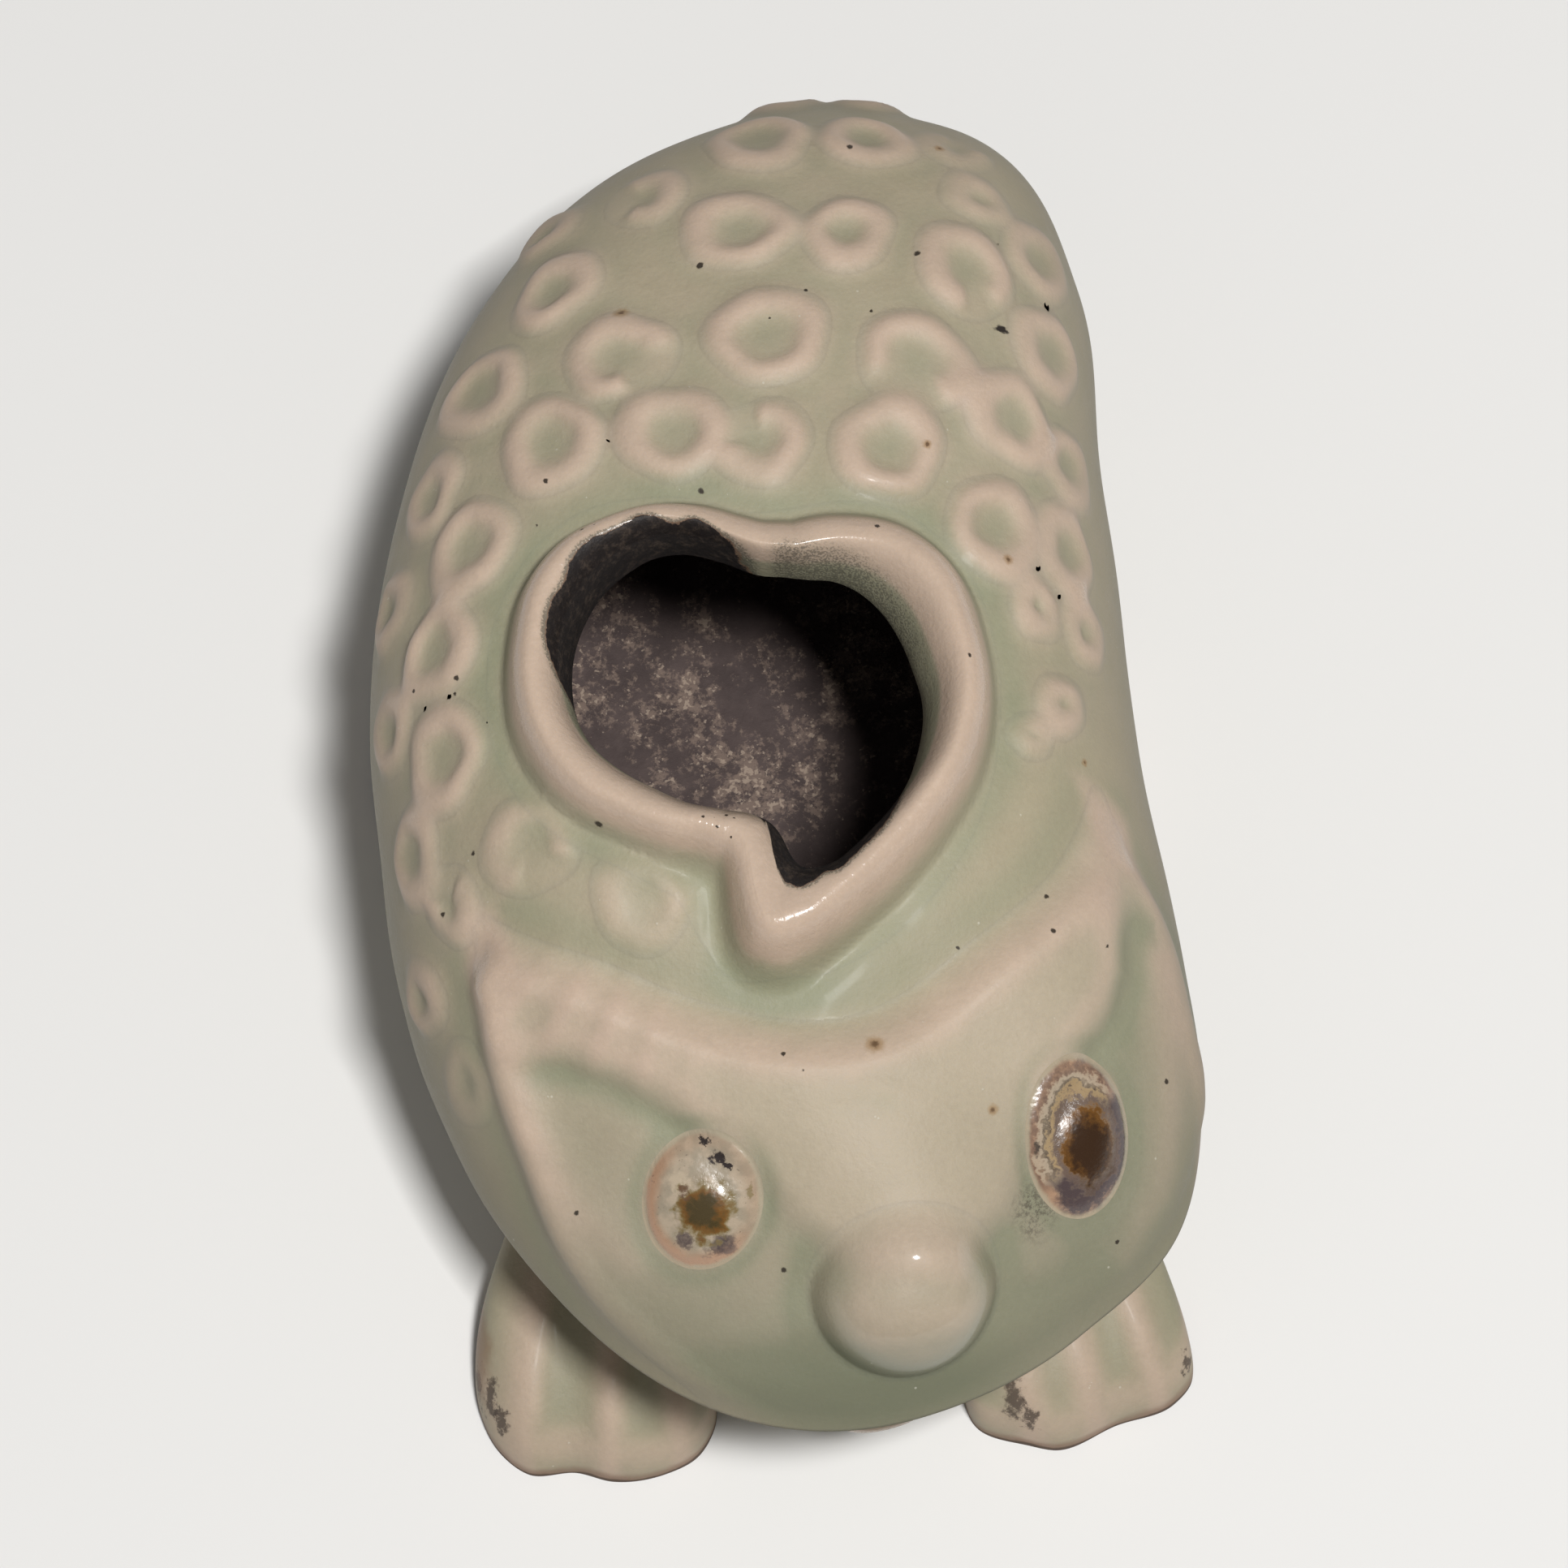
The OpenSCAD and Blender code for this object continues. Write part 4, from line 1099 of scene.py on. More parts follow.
class Wire:
    """A shader socket that sums and products can be written with"""

    def __init__(self, maker, socket):
        self.maker = maker
        self.socket = socket

    def math(self, operation, *others, clamp=False):
        settings = {"operation": operation, "use_clamp": clamp}
        return self.maker.node("ShaderNodeMath", settings, [self, *others])

    def __add__(self, other):
        return self.math("ADD", other)

    def __sub__(self, other):
        return self.math("SUBTRACT", other)

    def __rsub__(self, other):
        return self.maker.node("ShaderNodeMath", {"operation": "SUBTRACT"}, [other, self])

    def __mul__(self, other):
        return self.math("MULTIPLY", other)

    def __truediv__(self, other):
        return self.math("DIVIDE", other)

    def __pow__(self, other):
        return self.math("POWER", other)

    def larger(self, other):
        return self.math("MAXIMUM", other)

    def clamped(self):
        return self.math("ADD", 0, clamp=True)

    def step(self, start, end):
        """Soft step from 0 at start to 1 at end"""
        settings = {"interpolation_type": "SMOOTHSTEP"}
        return self.maker.node("ShaderNodeMapRange", settings, [self, start, end, 0, 1])

    __radd__ = __add__
    __rmul__ = __mul__


class Finish:
    """A new material whose nodes are made by one method"""

    def __init__(self, name):
        self.material = bpy.data.materials.new(name)
        self.material.use_nodes = True
        self.tree = self.material.node_tree
        self.tree.nodes.clear()
        coordinates = self.tree.nodes.new("ShaderNodeTexCoord")
        self.place = Wire(self, coordinates.outputs["Object"])

    def node(self, kind, settings, sockets, output=0):
        made = self.tree.nodes.new(kind)
        for key, value in settings.items():
            setattr(made, key, value)
        named = sockets.items() if isinstance(sockets, dict) else enumerate(sockets)
        for key, value in named:
            if isinstance(value, Wire):
                self.tree.links.new(value.socket, made.inputs[key])
            elif value is not None:
                made.inputs[key].default_value = value
        return Wire(self, made.outputs[output])

    def noise(self, size, detail=2, rough=0.5):
        """Noise from 0 to 1 whose lumps have the given size in millimetres"""
        sockets = {"Vector": self.place, "Scale": 1 / (size * MM), "Detail": detail, "Roughness": rough}
        return self.node("ShaderNodeTexNoise", {}, sockets)

    def cells(self, size):
        """Distance from the nearest of scattered points, in shares of the given spacing"""
        return self.node("ShaderNodeTexVoronoi", {}, {"Vector": self.place, "Scale": 1 / (size * MM)})

    def blend(self, first, second, factor):
        """Colour that goes from the first to the second"""
        sockets = {0: factor, 6: rgba(first), 7: rgba(second)}
        return self.node("ShaderNodeMix", {"data_type": "RGBA", "clamp_factor": True}, sockets, 2)

    def vector(self, operation, *sockets, output=0):
        return self.node("ShaderNodeVectorMath", {"operation": operation}, sockets, output)

    def away_from(self, point):
        """Way from a point given in millimetres to the shaded place"""
        return self.vector("SUBTRACT", self.place, tuple(c * MM for c in point))

    def gap_to(self, point, stretch=(1, 1, 1)):
        """Distance from a point, in millimetres, with each axis stretched"""
        scaled = self.vector("MULTIPLY", self.away_from(point), tuple(s / MM for s in stretch))
        return self.vector("LENGTH", scaled, output="Value")

    def along(self, point, axis):
        """Distance from a point along an axis, in millimetres"""
        axis = tuple(float(c) / MM for c in axis)
        return self.vector("DOT_PRODUCT", self.away_from(point), axis, output="Value")

    def attribute(self, name):
        node = self.tree.nodes.new("ShaderNodeAttribute")
        node.attribute_name = name
        return node

    def surface(self, base, rough, bump_height, bump_distance, constants):
        """Ends the material in a principled shader with a bump"""
        sockets = {"Height": bump_height, "Distance": bump_distance, "Strength": 1.0}
        normal = self.node("ShaderNodeBump", {}, sockets)
        sockets = {"Base Color": base, "Roughness": rough, "Normal": normal, **constants}
        shader = self.node("ShaderNodeBsdfPrincipled", {}, sockets)
        output = self.tree.nodes.new("ShaderNodeOutputMaterial")
        self.tree.links.new(shader.socket, output.inputs["Surface"])
        return self.material


def rgba(value):
    return value if isinstance(value, Wire) else tuple(value)[:3] + (1.0,)


# Iron spots that bled brown, and plain dark ones, as [x, y, radius] in millimetres
RUST_MARKS = [
    (7.5, -20.7, 0.5), (-7.6, 25.6, 0.45), (15.5, 9.5, 0.3), (14.4, -23.8, 0.3), (10.8, 16.2, 0.25),
    (12.0, 39.0, 0.3), (20.1, -2.2, 0.2),
]
DARK_MARKS = [
    (6.4, 38.2, 0.26), (-8.7, -8.2, 0.34), (-2.9, 29.0, 0.26), (10.2, 29.8, 0.26), (-17.3, 2.4, 0.22),
    (17.8, -11.0, 0.2), (18.0, -13.4, 0.2), (12.4, -14.5, 0.16), (2.1, -21.4, 0.18),
    (21.4, -13.7, 0.16), (24.9, -20.4, 0.2), (-2.7, 12.8, 0.22), (3.6, 26.7, 0.18), (-17.5, 1.4, 0.14),
    (-20.0, 2.4, 0.16), (-16.2, -8.5, 0.22), (-18.1, -11.5, 0.2), (-12.6, 11.3, 0.14),
    (-10.4, 10.5, 0.14), (7.7, 9.9, 0.2), (13.2, 1.5, 0.16), (-12.1, 14.2, 0.2), (-10.0, -28.9, 0.2),
    (2.2, -32.5, 0.2), (22.0, -29.7, 0.16), (1.3, 24.5, 0.12), (7.4, 25.2, 0.12), (3.3, -22.4, 0.14),
    (-2.6, -8.6, 0.11), (-1.9, -8.6, 0.09), (-1.2, -8.4, 0.11), (-0.7, -8.6, 0.09), (-1.7, -9.2, 0.09),
    (-0.9, -9.8, 0.09), (-9.8, 9.7, 0.12), (-9.3, 10.3, 0.11), (-9.1, 9.9, 0.09),
]
# Dark smears and brown stains on the paws as [point, stretch, size]
SMEARS = [
    ((-16.0, -34.0, 3.4), (1.6, 0.7, 0.6), 1.0), ((-15.2, -35.6, 3.2), (1.8, 0.7, 0.6), 0.9),
    ((-16.9, -33.0, 2.4), (1.6, 0.5, 0.6), 0.8), ((16.4, -34.2, 4.2), (1.5, 0.7, 0.6), 1.2),
    ((17.3, -35.6, 3.6), (1.5, 0.7, 0.6), 0.9), ((27.3, -31.6, 2.8), (1.2, 1.0, 0.7), 0.7),
]
STAINS = [((-16.6, -31.0, 3.0), (1.2, 0.4, 0.6), 1.6)]
STREAK_AT = (15.4, 25.3)
SOOT_AT = (17.0, -28.6)
# Middle of the painted shade, with deep glaze, under the nose above the lip
DEEP_GLAZE_AND_SHADE_AT = (8.0, -38.4)

# Small dark spots over the left pupil as [right, up, radius] in millimetres
EYE_SPOTS = [(-0.2, 3.85, 0.34), (0.25, 3.55, 0.3), (0.95, 2.7, 0.5), (1.6, 2.15, 0.24)]
EYE_CREAM = (0.43, 0.345, 0.25)
EYE_DARK = (0.028, 0.02, 0.018)


def on_skin(x, y):
    """Point of the finished skin above a place on the plan"""
    points = master_skin(clay_body()).points
    upper = points[points[:, 2] > 20]
    return tuple(upper[np.argmin(np.hypot(upper[:, 0] - x, upper[:, 1] - y))])


def flecks(f, size, share_of_cells, radius):
    """Mask of small round flecks scattered at the given spacing"""
    near = f.cells(size)
    keep = f.noise(size * 2.2, 1).step(1 - share_of_cells, 1 - share_of_cells + 0.03)
    return (1 - near.step(radius * 0.6, radius)) * keep


def paint_marks(f, base, grain):
    """Rust and dark marks where the photograph shows them"""
    for x, y, radius in RUST_MARKS:
        gap = f.gap_to(on_skin(x, y)) + (grain - 0.5) * 0.35
        base = f.blend(base, (0.3, 0.17, 0.06), (1 - gap.step(radius * 0.5, radius * 1.6)) * 0.6)
        base = f.blend(base, (0.09, 0.045, 0.02), (1 - gap.step(radius * 0.15, radius * 0.7)) * 0.8)
    for x, y, radius in DARK_MARKS:
        gap = f.gap_to(on_skin(x, y)) + (grain - 0.5) * 0.35
        base = f.blend(base, (0.03, 0.022, 0.016), (1 - gap.step(radius * 0.5, radius)) * 0.95)
    return base


def paint_smears(f, base, mottle):
    """Dark streak on the back, soot below the right eye, and smears and stains on the paws"""
    streak = f.gap_to(on_skin(*STREAK_AT), (0.75, 1.7, 1.0)) + (f.noise(0.7, 3) - 0.5) * 1.5
    base = f.blend(base, (0.03, 0.024, 0.02), 1 - streak.step(0.25, 0.5))
    soot_gap = f.gap_to(on_skin(*SOOT_AT), (0.8, 0.62, 0.5)) + (mottle - 0.5) * 1.2
    soot = (1 - soot_gap.step(0.2, 1.6)) * f.noise(0.4, 5, 0.85).step(0.44, 0.6)
    base = f.blend(base, (0.08, 0.065, 0.05), soot * 0.75)
    for point, stretch, size in SMEARS:
        gap = f.gap_to(point, stretch) + (f.noise(0.8, 4, 0.75) - 0.5) * 3.4
        base = f.blend(base, (0.06, 0.042, 0.032), (1 - gap.step(size * 0.4, size)) * 0.85)
    for point, stretch, size in STAINS:
        gap = f.gap_to(point, stretch) + (mottle - 0.5) * 1.6
        base = f.blend(base, (0.23, 0.13, 0.07), (1 - gap.step(size * 0.3, size)) * 0.6)
    return base


def paint_bare(f, base, tones, height):
    """Bare clay in the mouth and round the foot, with a flashed line along the glaze, and its mask"""
    layer = Wire(f, f.attribute("bare").outputs["Fac"])
    ragged = layer + (f.noise(1.1, 4, 0.75) - 0.5) * 0.75
    sooty = (f.noise(0.14, 2, 0.6) + layer * 0.5).step(0.6, 0.7) * layer.step(0.04, 0.32)
    line = height + (f.noise(4, 3) - 0.5) * (1.6 * MM) - layer.math("MINIMUM", 0) * MM
    foot_line = 1 - line.step(1.3 * MM, 1.6 * MM)
    flash = 1 - line.step(1.6 * MM, 2.5 * MM)
    base = f.blend(base, (0.2, 0.2, 0.14), layer.step(0.02, 0.4) * 0.3)
    base = f.blend(base, (0.08, 0.075, 0.06), sooty * 0.6)
    base = f.blend(base, tones.burnt, (ragged.step(0.52, 0.62) * 0.6).larger(flash * 0.7))
    clay = f.blend(tones.bare, (0.075, 0.055, 0.042), f.noise(0.7, 5, 0.8).step(0.45, 0.75))
    clay = f.blend(clay, (0.11, 0.075, 0.055), foot_line)
    bare = ragged.step(0.62, 0.7).larger(foot_line)
    return f.blend(base, clay, bare), bare


def make_glaze(tones):
    """Celadon over dark stoneware: green where it pools, pinkish where it is thin, bare in places"""
    f = Finish("celadon_glaze")
    layers = f.node("ShaderNodeSeparateXYZ", {}, [Wire(f, f.attribute("glaze").outputs["Vector"])])
    thin, pool, cream = (Wire(f, layers.socket.node.outputs[k]) for k in range(3))
    cloud = f.noise(7, 3, 0.55)
    mottle = f.noise(2.2, 4, 0.6)
    grain = f.noise(0.35, 3, 0.65)
    height = f.node("ShaderNodeSeparateXYZ", {}, [f.place], 2)

    base = f.blend(tones.green, tones.cream, (cream * 0.9 + (cloud - 0.5) * 0.9).clamped())
    pooled = (pool + (mottle - 0.55) * 0.5 - thin * 0.5).clamped()
    base = f.blend(base, tones.pool, pooled * 0.85)
    worn = (thin * 1.15 + (mottle - 0.5) * 0.35 - pool * 0.15).step(0.12, 0.95)
    base = f.blend(base, tones.ridge, worn)
    shade = (grain - 0.5) * 0.16 + (mottle - 0.5) * 0.14 + (cloud - 0.5) * 0.1 + 1.0
    base = f.node("ShaderNodeVectorMath", {"operation": "SCALE"}, {0: base, "Scale": shade})
    # Painted shade, partly also thicker glaze that ran down: the body is darkened between the foot and the
    # lower face, most from 12 to 18 mm up, fading out by 33 mm
    run_down_and_shade = (1 - height.step(18 * MM, 33 * MM)) * (height.step(6 * MM, 12 * MM) * 0.34 + 0.17)
    base = f.blend(base, (0.115, 0.106, 0.075), run_down_and_shade * (1 - thin * 0.3))
    # Painted shade with deep green glaze: a dark green patch under the nose, above the lip
    deep_glaze_and_shade = 1 - f.gap_to(on_skin(*DEEP_GLAZE_AND_SHADE_AT), (0.34, 0.9, 0.5)).step(1.2, 4.6)
    base = f.blend(base, (0.12, 0.135, 0.085), deep_glaze_and_shade * (1 - thin * 0.8) * 0.5)

    # Iron specks all over, and pale flecks of burst bubbles that are also painted sparkle highlights
    base = f.blend(base, (0.1, 0.065, 0.035), flecks(f, 1.7, 0.16, 0.1) * 0.75)
    bubble_and_sparkle = flecks(f, 0.55, 0.3, 0.17)
    base = f.blend(base, (0.66, 0.63, 0.53), bubble_and_sparkle * 0.4)
    base = paint_marks(f, base, grain)
    base = paint_smears(f, base, mottle)
    base, bare = paint_bare(f, base, tones, height)

    shine = thin.step(0.66, 0.9)
    rough = (grain - 0.5) * 0.2 + (mottle - 0.5) * 0.12 + tones.roughness - shine * 0.27 + bare * 0.3
    peel = f.noise(0.32, 2, 0.6) * 1.1 + f.noise(1.3, 2, 0.5) * 1.3 + bubble_and_sparkle * 0.25 + bare * grain * 2.0
    nose = Oval(clay_body(), NOSE_AT, (1, 1, 0))
    tip = nose.middle + nose.out * clay_body().nose_height
    on_nose = 1 - f.gap_to(tuple(tip)).step(4.0, 5.5)
    polish = shine * 0.24 * (f.noise(0.25, 2, 0.6) * 1.6).clamped() + on_nose * 0.8
    coat = (polish + (1 - cream.step(0.3, 0.7)) * 0.014) * (1 - bare)
    constants = {
        "IOR": 1.5, "Specular IOR Level": 0.26, "Coat Weight": coat.clamped(), "Coat Roughness": 0.11,
        "Subsurface Weight": 0.12, "Subsurface Scale": 0.0012, "Subsurface Radius": (1.0, 0.8, 0.5),
    }
    return f.surface(base, rough, peel, tones.peel, constants)


def band(value, middle, half):
    """Mask of the values within half of the middle"""
    gap = (value - middle).math("ABSOLUTE")
    return 1 - gap.step(half * 0.3, half * 1.15)


class EyePlace:
    """Where a shaded point lies on an eye and how far it is from the pupil, in shares of their sizes"""

    def __init__(self, f, oval, pupil, blur):
        self.f = f
        self.oval = oval
        self.u, self.w = self.shares(oval)
        self.rub = f.noise(1.5, 3, 0.6) - 0.5
        self.fine = f.noise(0.4, 4, 0.7) - 0.5
        self.q = (self.u * self.u + self.w * self.w) ** 0.5 + self.rub * 0.12
        self.pu, self.pw = self.shares(pupil)
        self.spread = (self.pu * self.pu + self.pw * self.pw) ** 0.5
        self.d = self.spread + self.rub * 0.85 + self.fine * 0.55 + (f.noise(0.9, 2) - 0.5) * blur

    def shares(self, oval):
        """Place along the width and the length of an oval"""
        across = self.f.along(oval.middle, oval.across) / float(oval.half[0])
        return across, self.f.along(oval.middle, oval.along) / float(oval.half[1])

    def spot(self, right, up, radius, stretch=(1, 1, 1)):
        """Mask of a small ragged spot"""
        at = self.oval.middle + self.oval.right * right + self.oval.up * up
        gap = self.f.gap_to(tuple(at), stretch) + self.fine * 1.3
        return 1 - gap.step(radius * 0.55, radius)


def paint_right_eye(f, base, at, tones):
    """Broken rings round a dark pupil, with a plum half-ring under it"""
    rim = at.q.step(0.72, 0.92) + at.rub * 0.8
    base = f.blend(base, tones.salmon, rim.clamped() * 0.85)
    low = ((at.pu * 0.6 - at.pw * 0.8) / at.spread).step(-0.3, 0.15)
    upper = (1 - low) * (0.75 + at.fine * 2.0).clamped()
    base = f.blend(base, (0.15, 0.095, 0.07), band(at.d, 1.78, 0.24) * upper * 0.9)
    base = f.blend(base, EYE_CREAM, band(at.d, 1.52, 0.13) * (1 - low) * 0.8)
    base = f.blend(base, (0.1, 0.07, 0.045), band(at.d, 1.37, 0.1) * upper * 0.9)
    base = f.blend(base, (0.36, 0.25, 0.13), band(at.d, 1.22, 0.12) * (1 - low) * 0.9)
    base = f.blend(base, tones.plum, band(at.d, 1.36, 0.38) * (low + at.fine * 0.8).clamped())
    base = f.blend(base, (0.1, 0.06, 0.048), band(at.d, 1.02, 0.18) * 0.8)
    base = f.blend(base, EYE_DARK, at.spot(-2.65, -0.4, 0.55, (1.8, 0.7, 1)) * 0.85)
    base = f.blend(base, tones.amber, 1 - at.d.step(0.8, 1.0))
    core = 1 - (at.d + at.fine * 0.3 + at.pw * 0.2 - at.pu * 0.1).step(0.45, 1.0)
    return f.blend(base, tones.iron, core * 0.92)


def paint_left_eye(f, base, at, tones):
    """Rayed pupil with an amber edge, over a plum blot and small dark spots"""
    lower = (at.w * -1.0 + at.u * -0.55 + 0.2).step(-0.3, 0.6)
    rim = (at.q.step(0.7, 0.92) * (lower * 0.8 + 0.25) + at.rub * 0.5).clamped()
    base = f.blend(base, tones.salmon, rim * 0.9)
    base = f.blend(base, (0.52, 0.42, 0.3), at.spot(-1.2, 1.1, 0.9) * 0.7)
    way = [at.pu / at.spread, at.pw / at.spread, at.spread * 0.22]
    way = f.node("ShaderNodeCombineXYZ", {}, way)
    sockets = {"Vector": way, "Scale": 3.0, "Detail": 4.0, "Roughness": 0.7}
    rays = (f.node("ShaderNodeTexNoise", {}, sockets) - 0.5) * 0.5
    blot = at.spot(1.3, -2.65, 0.95) + at.spot(-1.0, -2.4, 0.7) + at.spot(0.4, -3.2, 0.5) * 0.5
    base = f.blend(base, tones.plum, blot.clamped() * (0.85 + at.fine * 1.2).clamped())
    base = f.blend(base, (0.2, 0.15, 0.06), 1 - (at.d + rays).step(0.8, 1.15))
    edge = band(at.d + rays * 0.6, 0.62, 0.3)
    base = f.blend(base, tones.amber, edge * (0.9 + at.fine).clamped())
    base = f.blend(base, (0.06, 0.04, 0.012), 1 - (at.d + rays * 1.4).step(0.35, 0.8))
    base = f.blend(base, (0.12, 0.06, 0.035), at.spot(-0.9, 0.55, 0.55) * 0.8)
    base = f.blend(base, EYE_DARK, at.spot(-3.1, 1.2, 0.4, (1.4, 0.8, 1)))
    for right, up, radius in EYE_SPOTS:
        base = f.blend(base, EYE_DARK, at.spot(right, up, radius, (0.8, 1.1, 1)))
    return f.blend(base, (0.2, 0.15, 0.06), at.spot(2.9, 0.7, 0.4, (2.0, 0.6, 1)) * 0.7)


def make_eye(name, oval, pupil, tones, side):
    """Iron-spotted eye under clear glaze: pupil, amber edge, plum cloud, broken rings and salmon rim"""
    f = Finish(name)
    at = EyePlace(f, oval, pupil, 0.3 if side == "right" else 1.1)
    base = f.blend((0.33, 0.275, 0.2), EYE_CREAM, f.noise(0.9, 3).step(0.4, 0.65))
    paint = paint_right_eye if side == "right" else paint_left_eye
    base = paint(f, base, at, tones)
    speck = f.noise(0.22, 2, 0.6).step(0.66, 0.74) * at.q.step(0.4, 0.7)
    base = f.blend(base, (0.07, 0.05, 0.04), speck * 0.5)
    base = f.blend(base, (0.4, 0.35, 0.25), at.q.step(0.96, 1.04) * 0.8)
    rough = at.fine * 0.1 + 0.27
    peel = f.noise(0.35, 2, 0.5) * 0.8 + f.noise(1.0, 2) + at.d.step(0.9, 1.2) * 0.8
    constants = {"IOR": 1.5, "Specular IOR Level": 0.5, "Coat Weight": 0.25, "Coat Roughness": 0.06}
    return f.surface(base, rough, peel, tones.peel, constants)


def make_chamber_clay(tones):
    """Unglazed inside: dark purple-brown clay with clusters of beige ash flecks"""
    f = Finish("chamber_clay")
    cloud = f.noise(4.5, 3, 0.6)
    flake = f.noise(0.42, 5, 0.8)
    dark = f.blend((0.062, 0.044, 0.041), (0.1, 0.072, 0.066), f.noise(2.5, 4, 0.6).step(0.3, 0.75))
    patch = f.noise(1.1, 3, 0.6)
    spots = (flake + (cloud - 0.5) * 0.8 + (patch - 0.5) * 0.55).step(0.5, 0.68)
    base = f.blend(dark, tones.fleck, spots * 0.5)
    bright = (f.noise(0.34, 2, 0.6) + (cloud - 0.5) * 0.7 + (patch - 0.5) * 0.4).step(0.66, 0.74)
    base = f.blend(base, (0.5, 0.39, 0.3), bright * 0.5)
    rough = flake * 0.2 + 0.6
    return f.surface(base, rough, flake + cloud, 0.08 * MM, {"Specular IOR Level": 0.3})


def make_foot_clay(tones):
    """Bare underside of the floor slab, wiped and lightly flashed"""
    f = Finish("foot_clay")
    grit = f.noise(0.4, 4, 0.7)
    patch = f.noise(9, 3, 0.6)
    base = f.blend((0.16, 0.105, 0.075), (0.085, 0.062, 0.052), patch.step(0.35, 0.7))
    base = f.blend(base, (0.3, 0.24, 0.19), grit.step(0.62, 0.75) * 0.5)
    base = f.blend(base, tones.burnt, f.noise(18, 2).step(0.5, 0.8) * 0.5)
    return f.surface(base, grit * 0.2 + 0.65, grit + f.noise(2.5, 3), 0.12 * MM, {"Specular IOR Level": 0.3})


@functools.lru_cache(maxsize=1)
def finishes():
    """The materials, made once from the colours in the panel"""
    tones = bpy.context.scene.dropper_glaze
    body = clay_body()
    made = {
        "glaze": make_glaze(tones),
        "chamber": make_chamber_clay(tones),
        "foot": make_foot_clay(tones),
    }
    for side, eye in EYES.items():
        oval = Oval(body, eye["at"], eye["size"])
        oval.middle = oval.middle + oval.out * body.plate
        pupil = Oval(body, eye["at"], eye["pupil"], eye["shift"])
        made[side] = make_eye(side + "_eye_glaze", oval, pupil, tones, side)
    return made


@functools.lru_cache(maxsize=1)
def clay_body():
    """The body with the sizes in the panel"""
    scene = bpy.context.scene
    return Body(scene.dropper_body, scene.dropper_head)


def cover_of(skin, names):
    """How deep the named pieces bury what lies under them"""
    return sum((1.25 * skin.depth[name] for name in names), np.zeros(len(skin.points)))


def inside_of(skin, name):
    """Triangles of the skin that lie inside a piece's outline"""
    return skin.values[name][skin.triangles].mean(axis=1) < 0


def rows_between(skin, first, last):
    """Triangles of the skin between two rows"""
    low = skin.row[skin.triangles].min(axis=1)
    high = skin.row[skin.triangles].max(axis=1)
    return (low >= first) & (high <= last)


def plain_values(points):
    """Glaze and bare-clay values of a plainly glazed part"""
    return np.zeros((len(points), 3)), np.zeros(len(points))


def chamber_parts(body, upper, material):
    """Inner surface of the upper or the lower half of the wall"""
    a = np.arange(0, 360, 2.0)
    edge = body.edge_h(a)
    if upper:
        start = around(MOUTH_PLAN, a) + MOUTH_BED
        reach = body.reach(a) - body.wall - body.lip_over * body.lipness(a)
        t = np.sin(np.linspace(0, 1, 36) * math.pi / 2)[:, None]
        r = mix(start, reach, t)
        z = body.skin_z(a, r, body.wall)
    else:
        z = mix(edge, body.floor, np.linspace(0, 1, 16)[:, None])
        r = body.wall_r(a, z) - body.wall
    points = cast(a, r, z)
    rows, count = points.shape[:2]
    flat = points.reshape(-1, 3)
    triangles = grid_triangles(rows, count, True)[:, ::-1]
    glaze, bare = plain_values(flat)
    return flat, triangles, None, glaze, bare, material


class DROPPER_OT_shells(bpy.types.Operator):
    """Build the glazed skin of the back shell and the belly shell"""

    bl_idname = "dropper.shells"
    bl_label = "Shells"

    def execute(self, context):
        body = clay_body()
        skin = master_skin(body)
        made = finishes()
        cover = cover_of(skin, skin.depth)
        coil = coil_bed(skin)
        upper = part_of(coil, skin.triangles[rows_between(skin, 0, GIRTH_ROW)], cover)
        lower = part_of(skin, skin.triangles[rows_between(skin, GIRTH_ROW, skin.rows - 1)], cover)
        looks = [made["glaze"], made["chamber"]]
        for name, part, above in (("back_shell", upper, True), ("belly_shell", lower, False)):
            parts = [(*part, 0), chamber_parts(body, above, 1)]
            build_piece(name + "_skin", parts, looks, [name])
        return {"FINISHED"}


def coil_bed(skin):
    """The skin with the bed of the coil in place of the coil itself"""
    points = skin.points.copy().reshape(skin.rows, skin.count, 3)
    first, last = points[MOUTH_WALL_ROWS].copy(), points[MOUTH_ROWS].copy()
    for i in range(MOUTH_WALL_ROWS + 1, MOUTH_ROWS):
        t = (i - MOUTH_WALL_ROWS) / (MOUTH_ROWS - MOUTH_WALL_ROWS)
        points[i] = mix(first, last, t) - np.array([0, 0, 0.6]) * math.sin(math.pi * t)
    bed = types.SimpleNamespace(**vars(skin))
    bed.points = points.reshape(-1, 3)
    return bed


class DROPPER_OT_opening_rim(bpy.types.Operator):
    """Build the coil of clay round the filling mouth"""

    bl_idname = "dropper.opening_rim"
    bl_label = "Opening rim"

    def execute(self, context):
        skin = master_skin(clay_body())
        triangles = skin.triangles[rows_between(skin, MOUTH_WALL_ROWS, MOUTH_ROWS)]
        nothing = np.zeros(len(skin.points))
        top = part_of(skin, triangles, nothing)
        bed = part_of(coil_bed(skin), triangles, nothing)
        under = (bed[0], bed[1][:, ::-1], -bed[2].reshape(-1, 3, 3)[:, ::-1].reshape(-1, 3), bed[3], bed[4])
        build_piece(
            "opening_rim_coil", [(*top, 0), (*under, 0)], [finishes()["glaze"]], ["opening_rim"]
        )
        return {"FINISHED"}


def pad(skin, name, triangles, covers):
    """A piece of clay laid on the skin, with the pieces named in covers on top of it"""
    cover = cover_of(skin, covers)
    return part_of(skin, triangles, cover, cover + skin.depth[name])


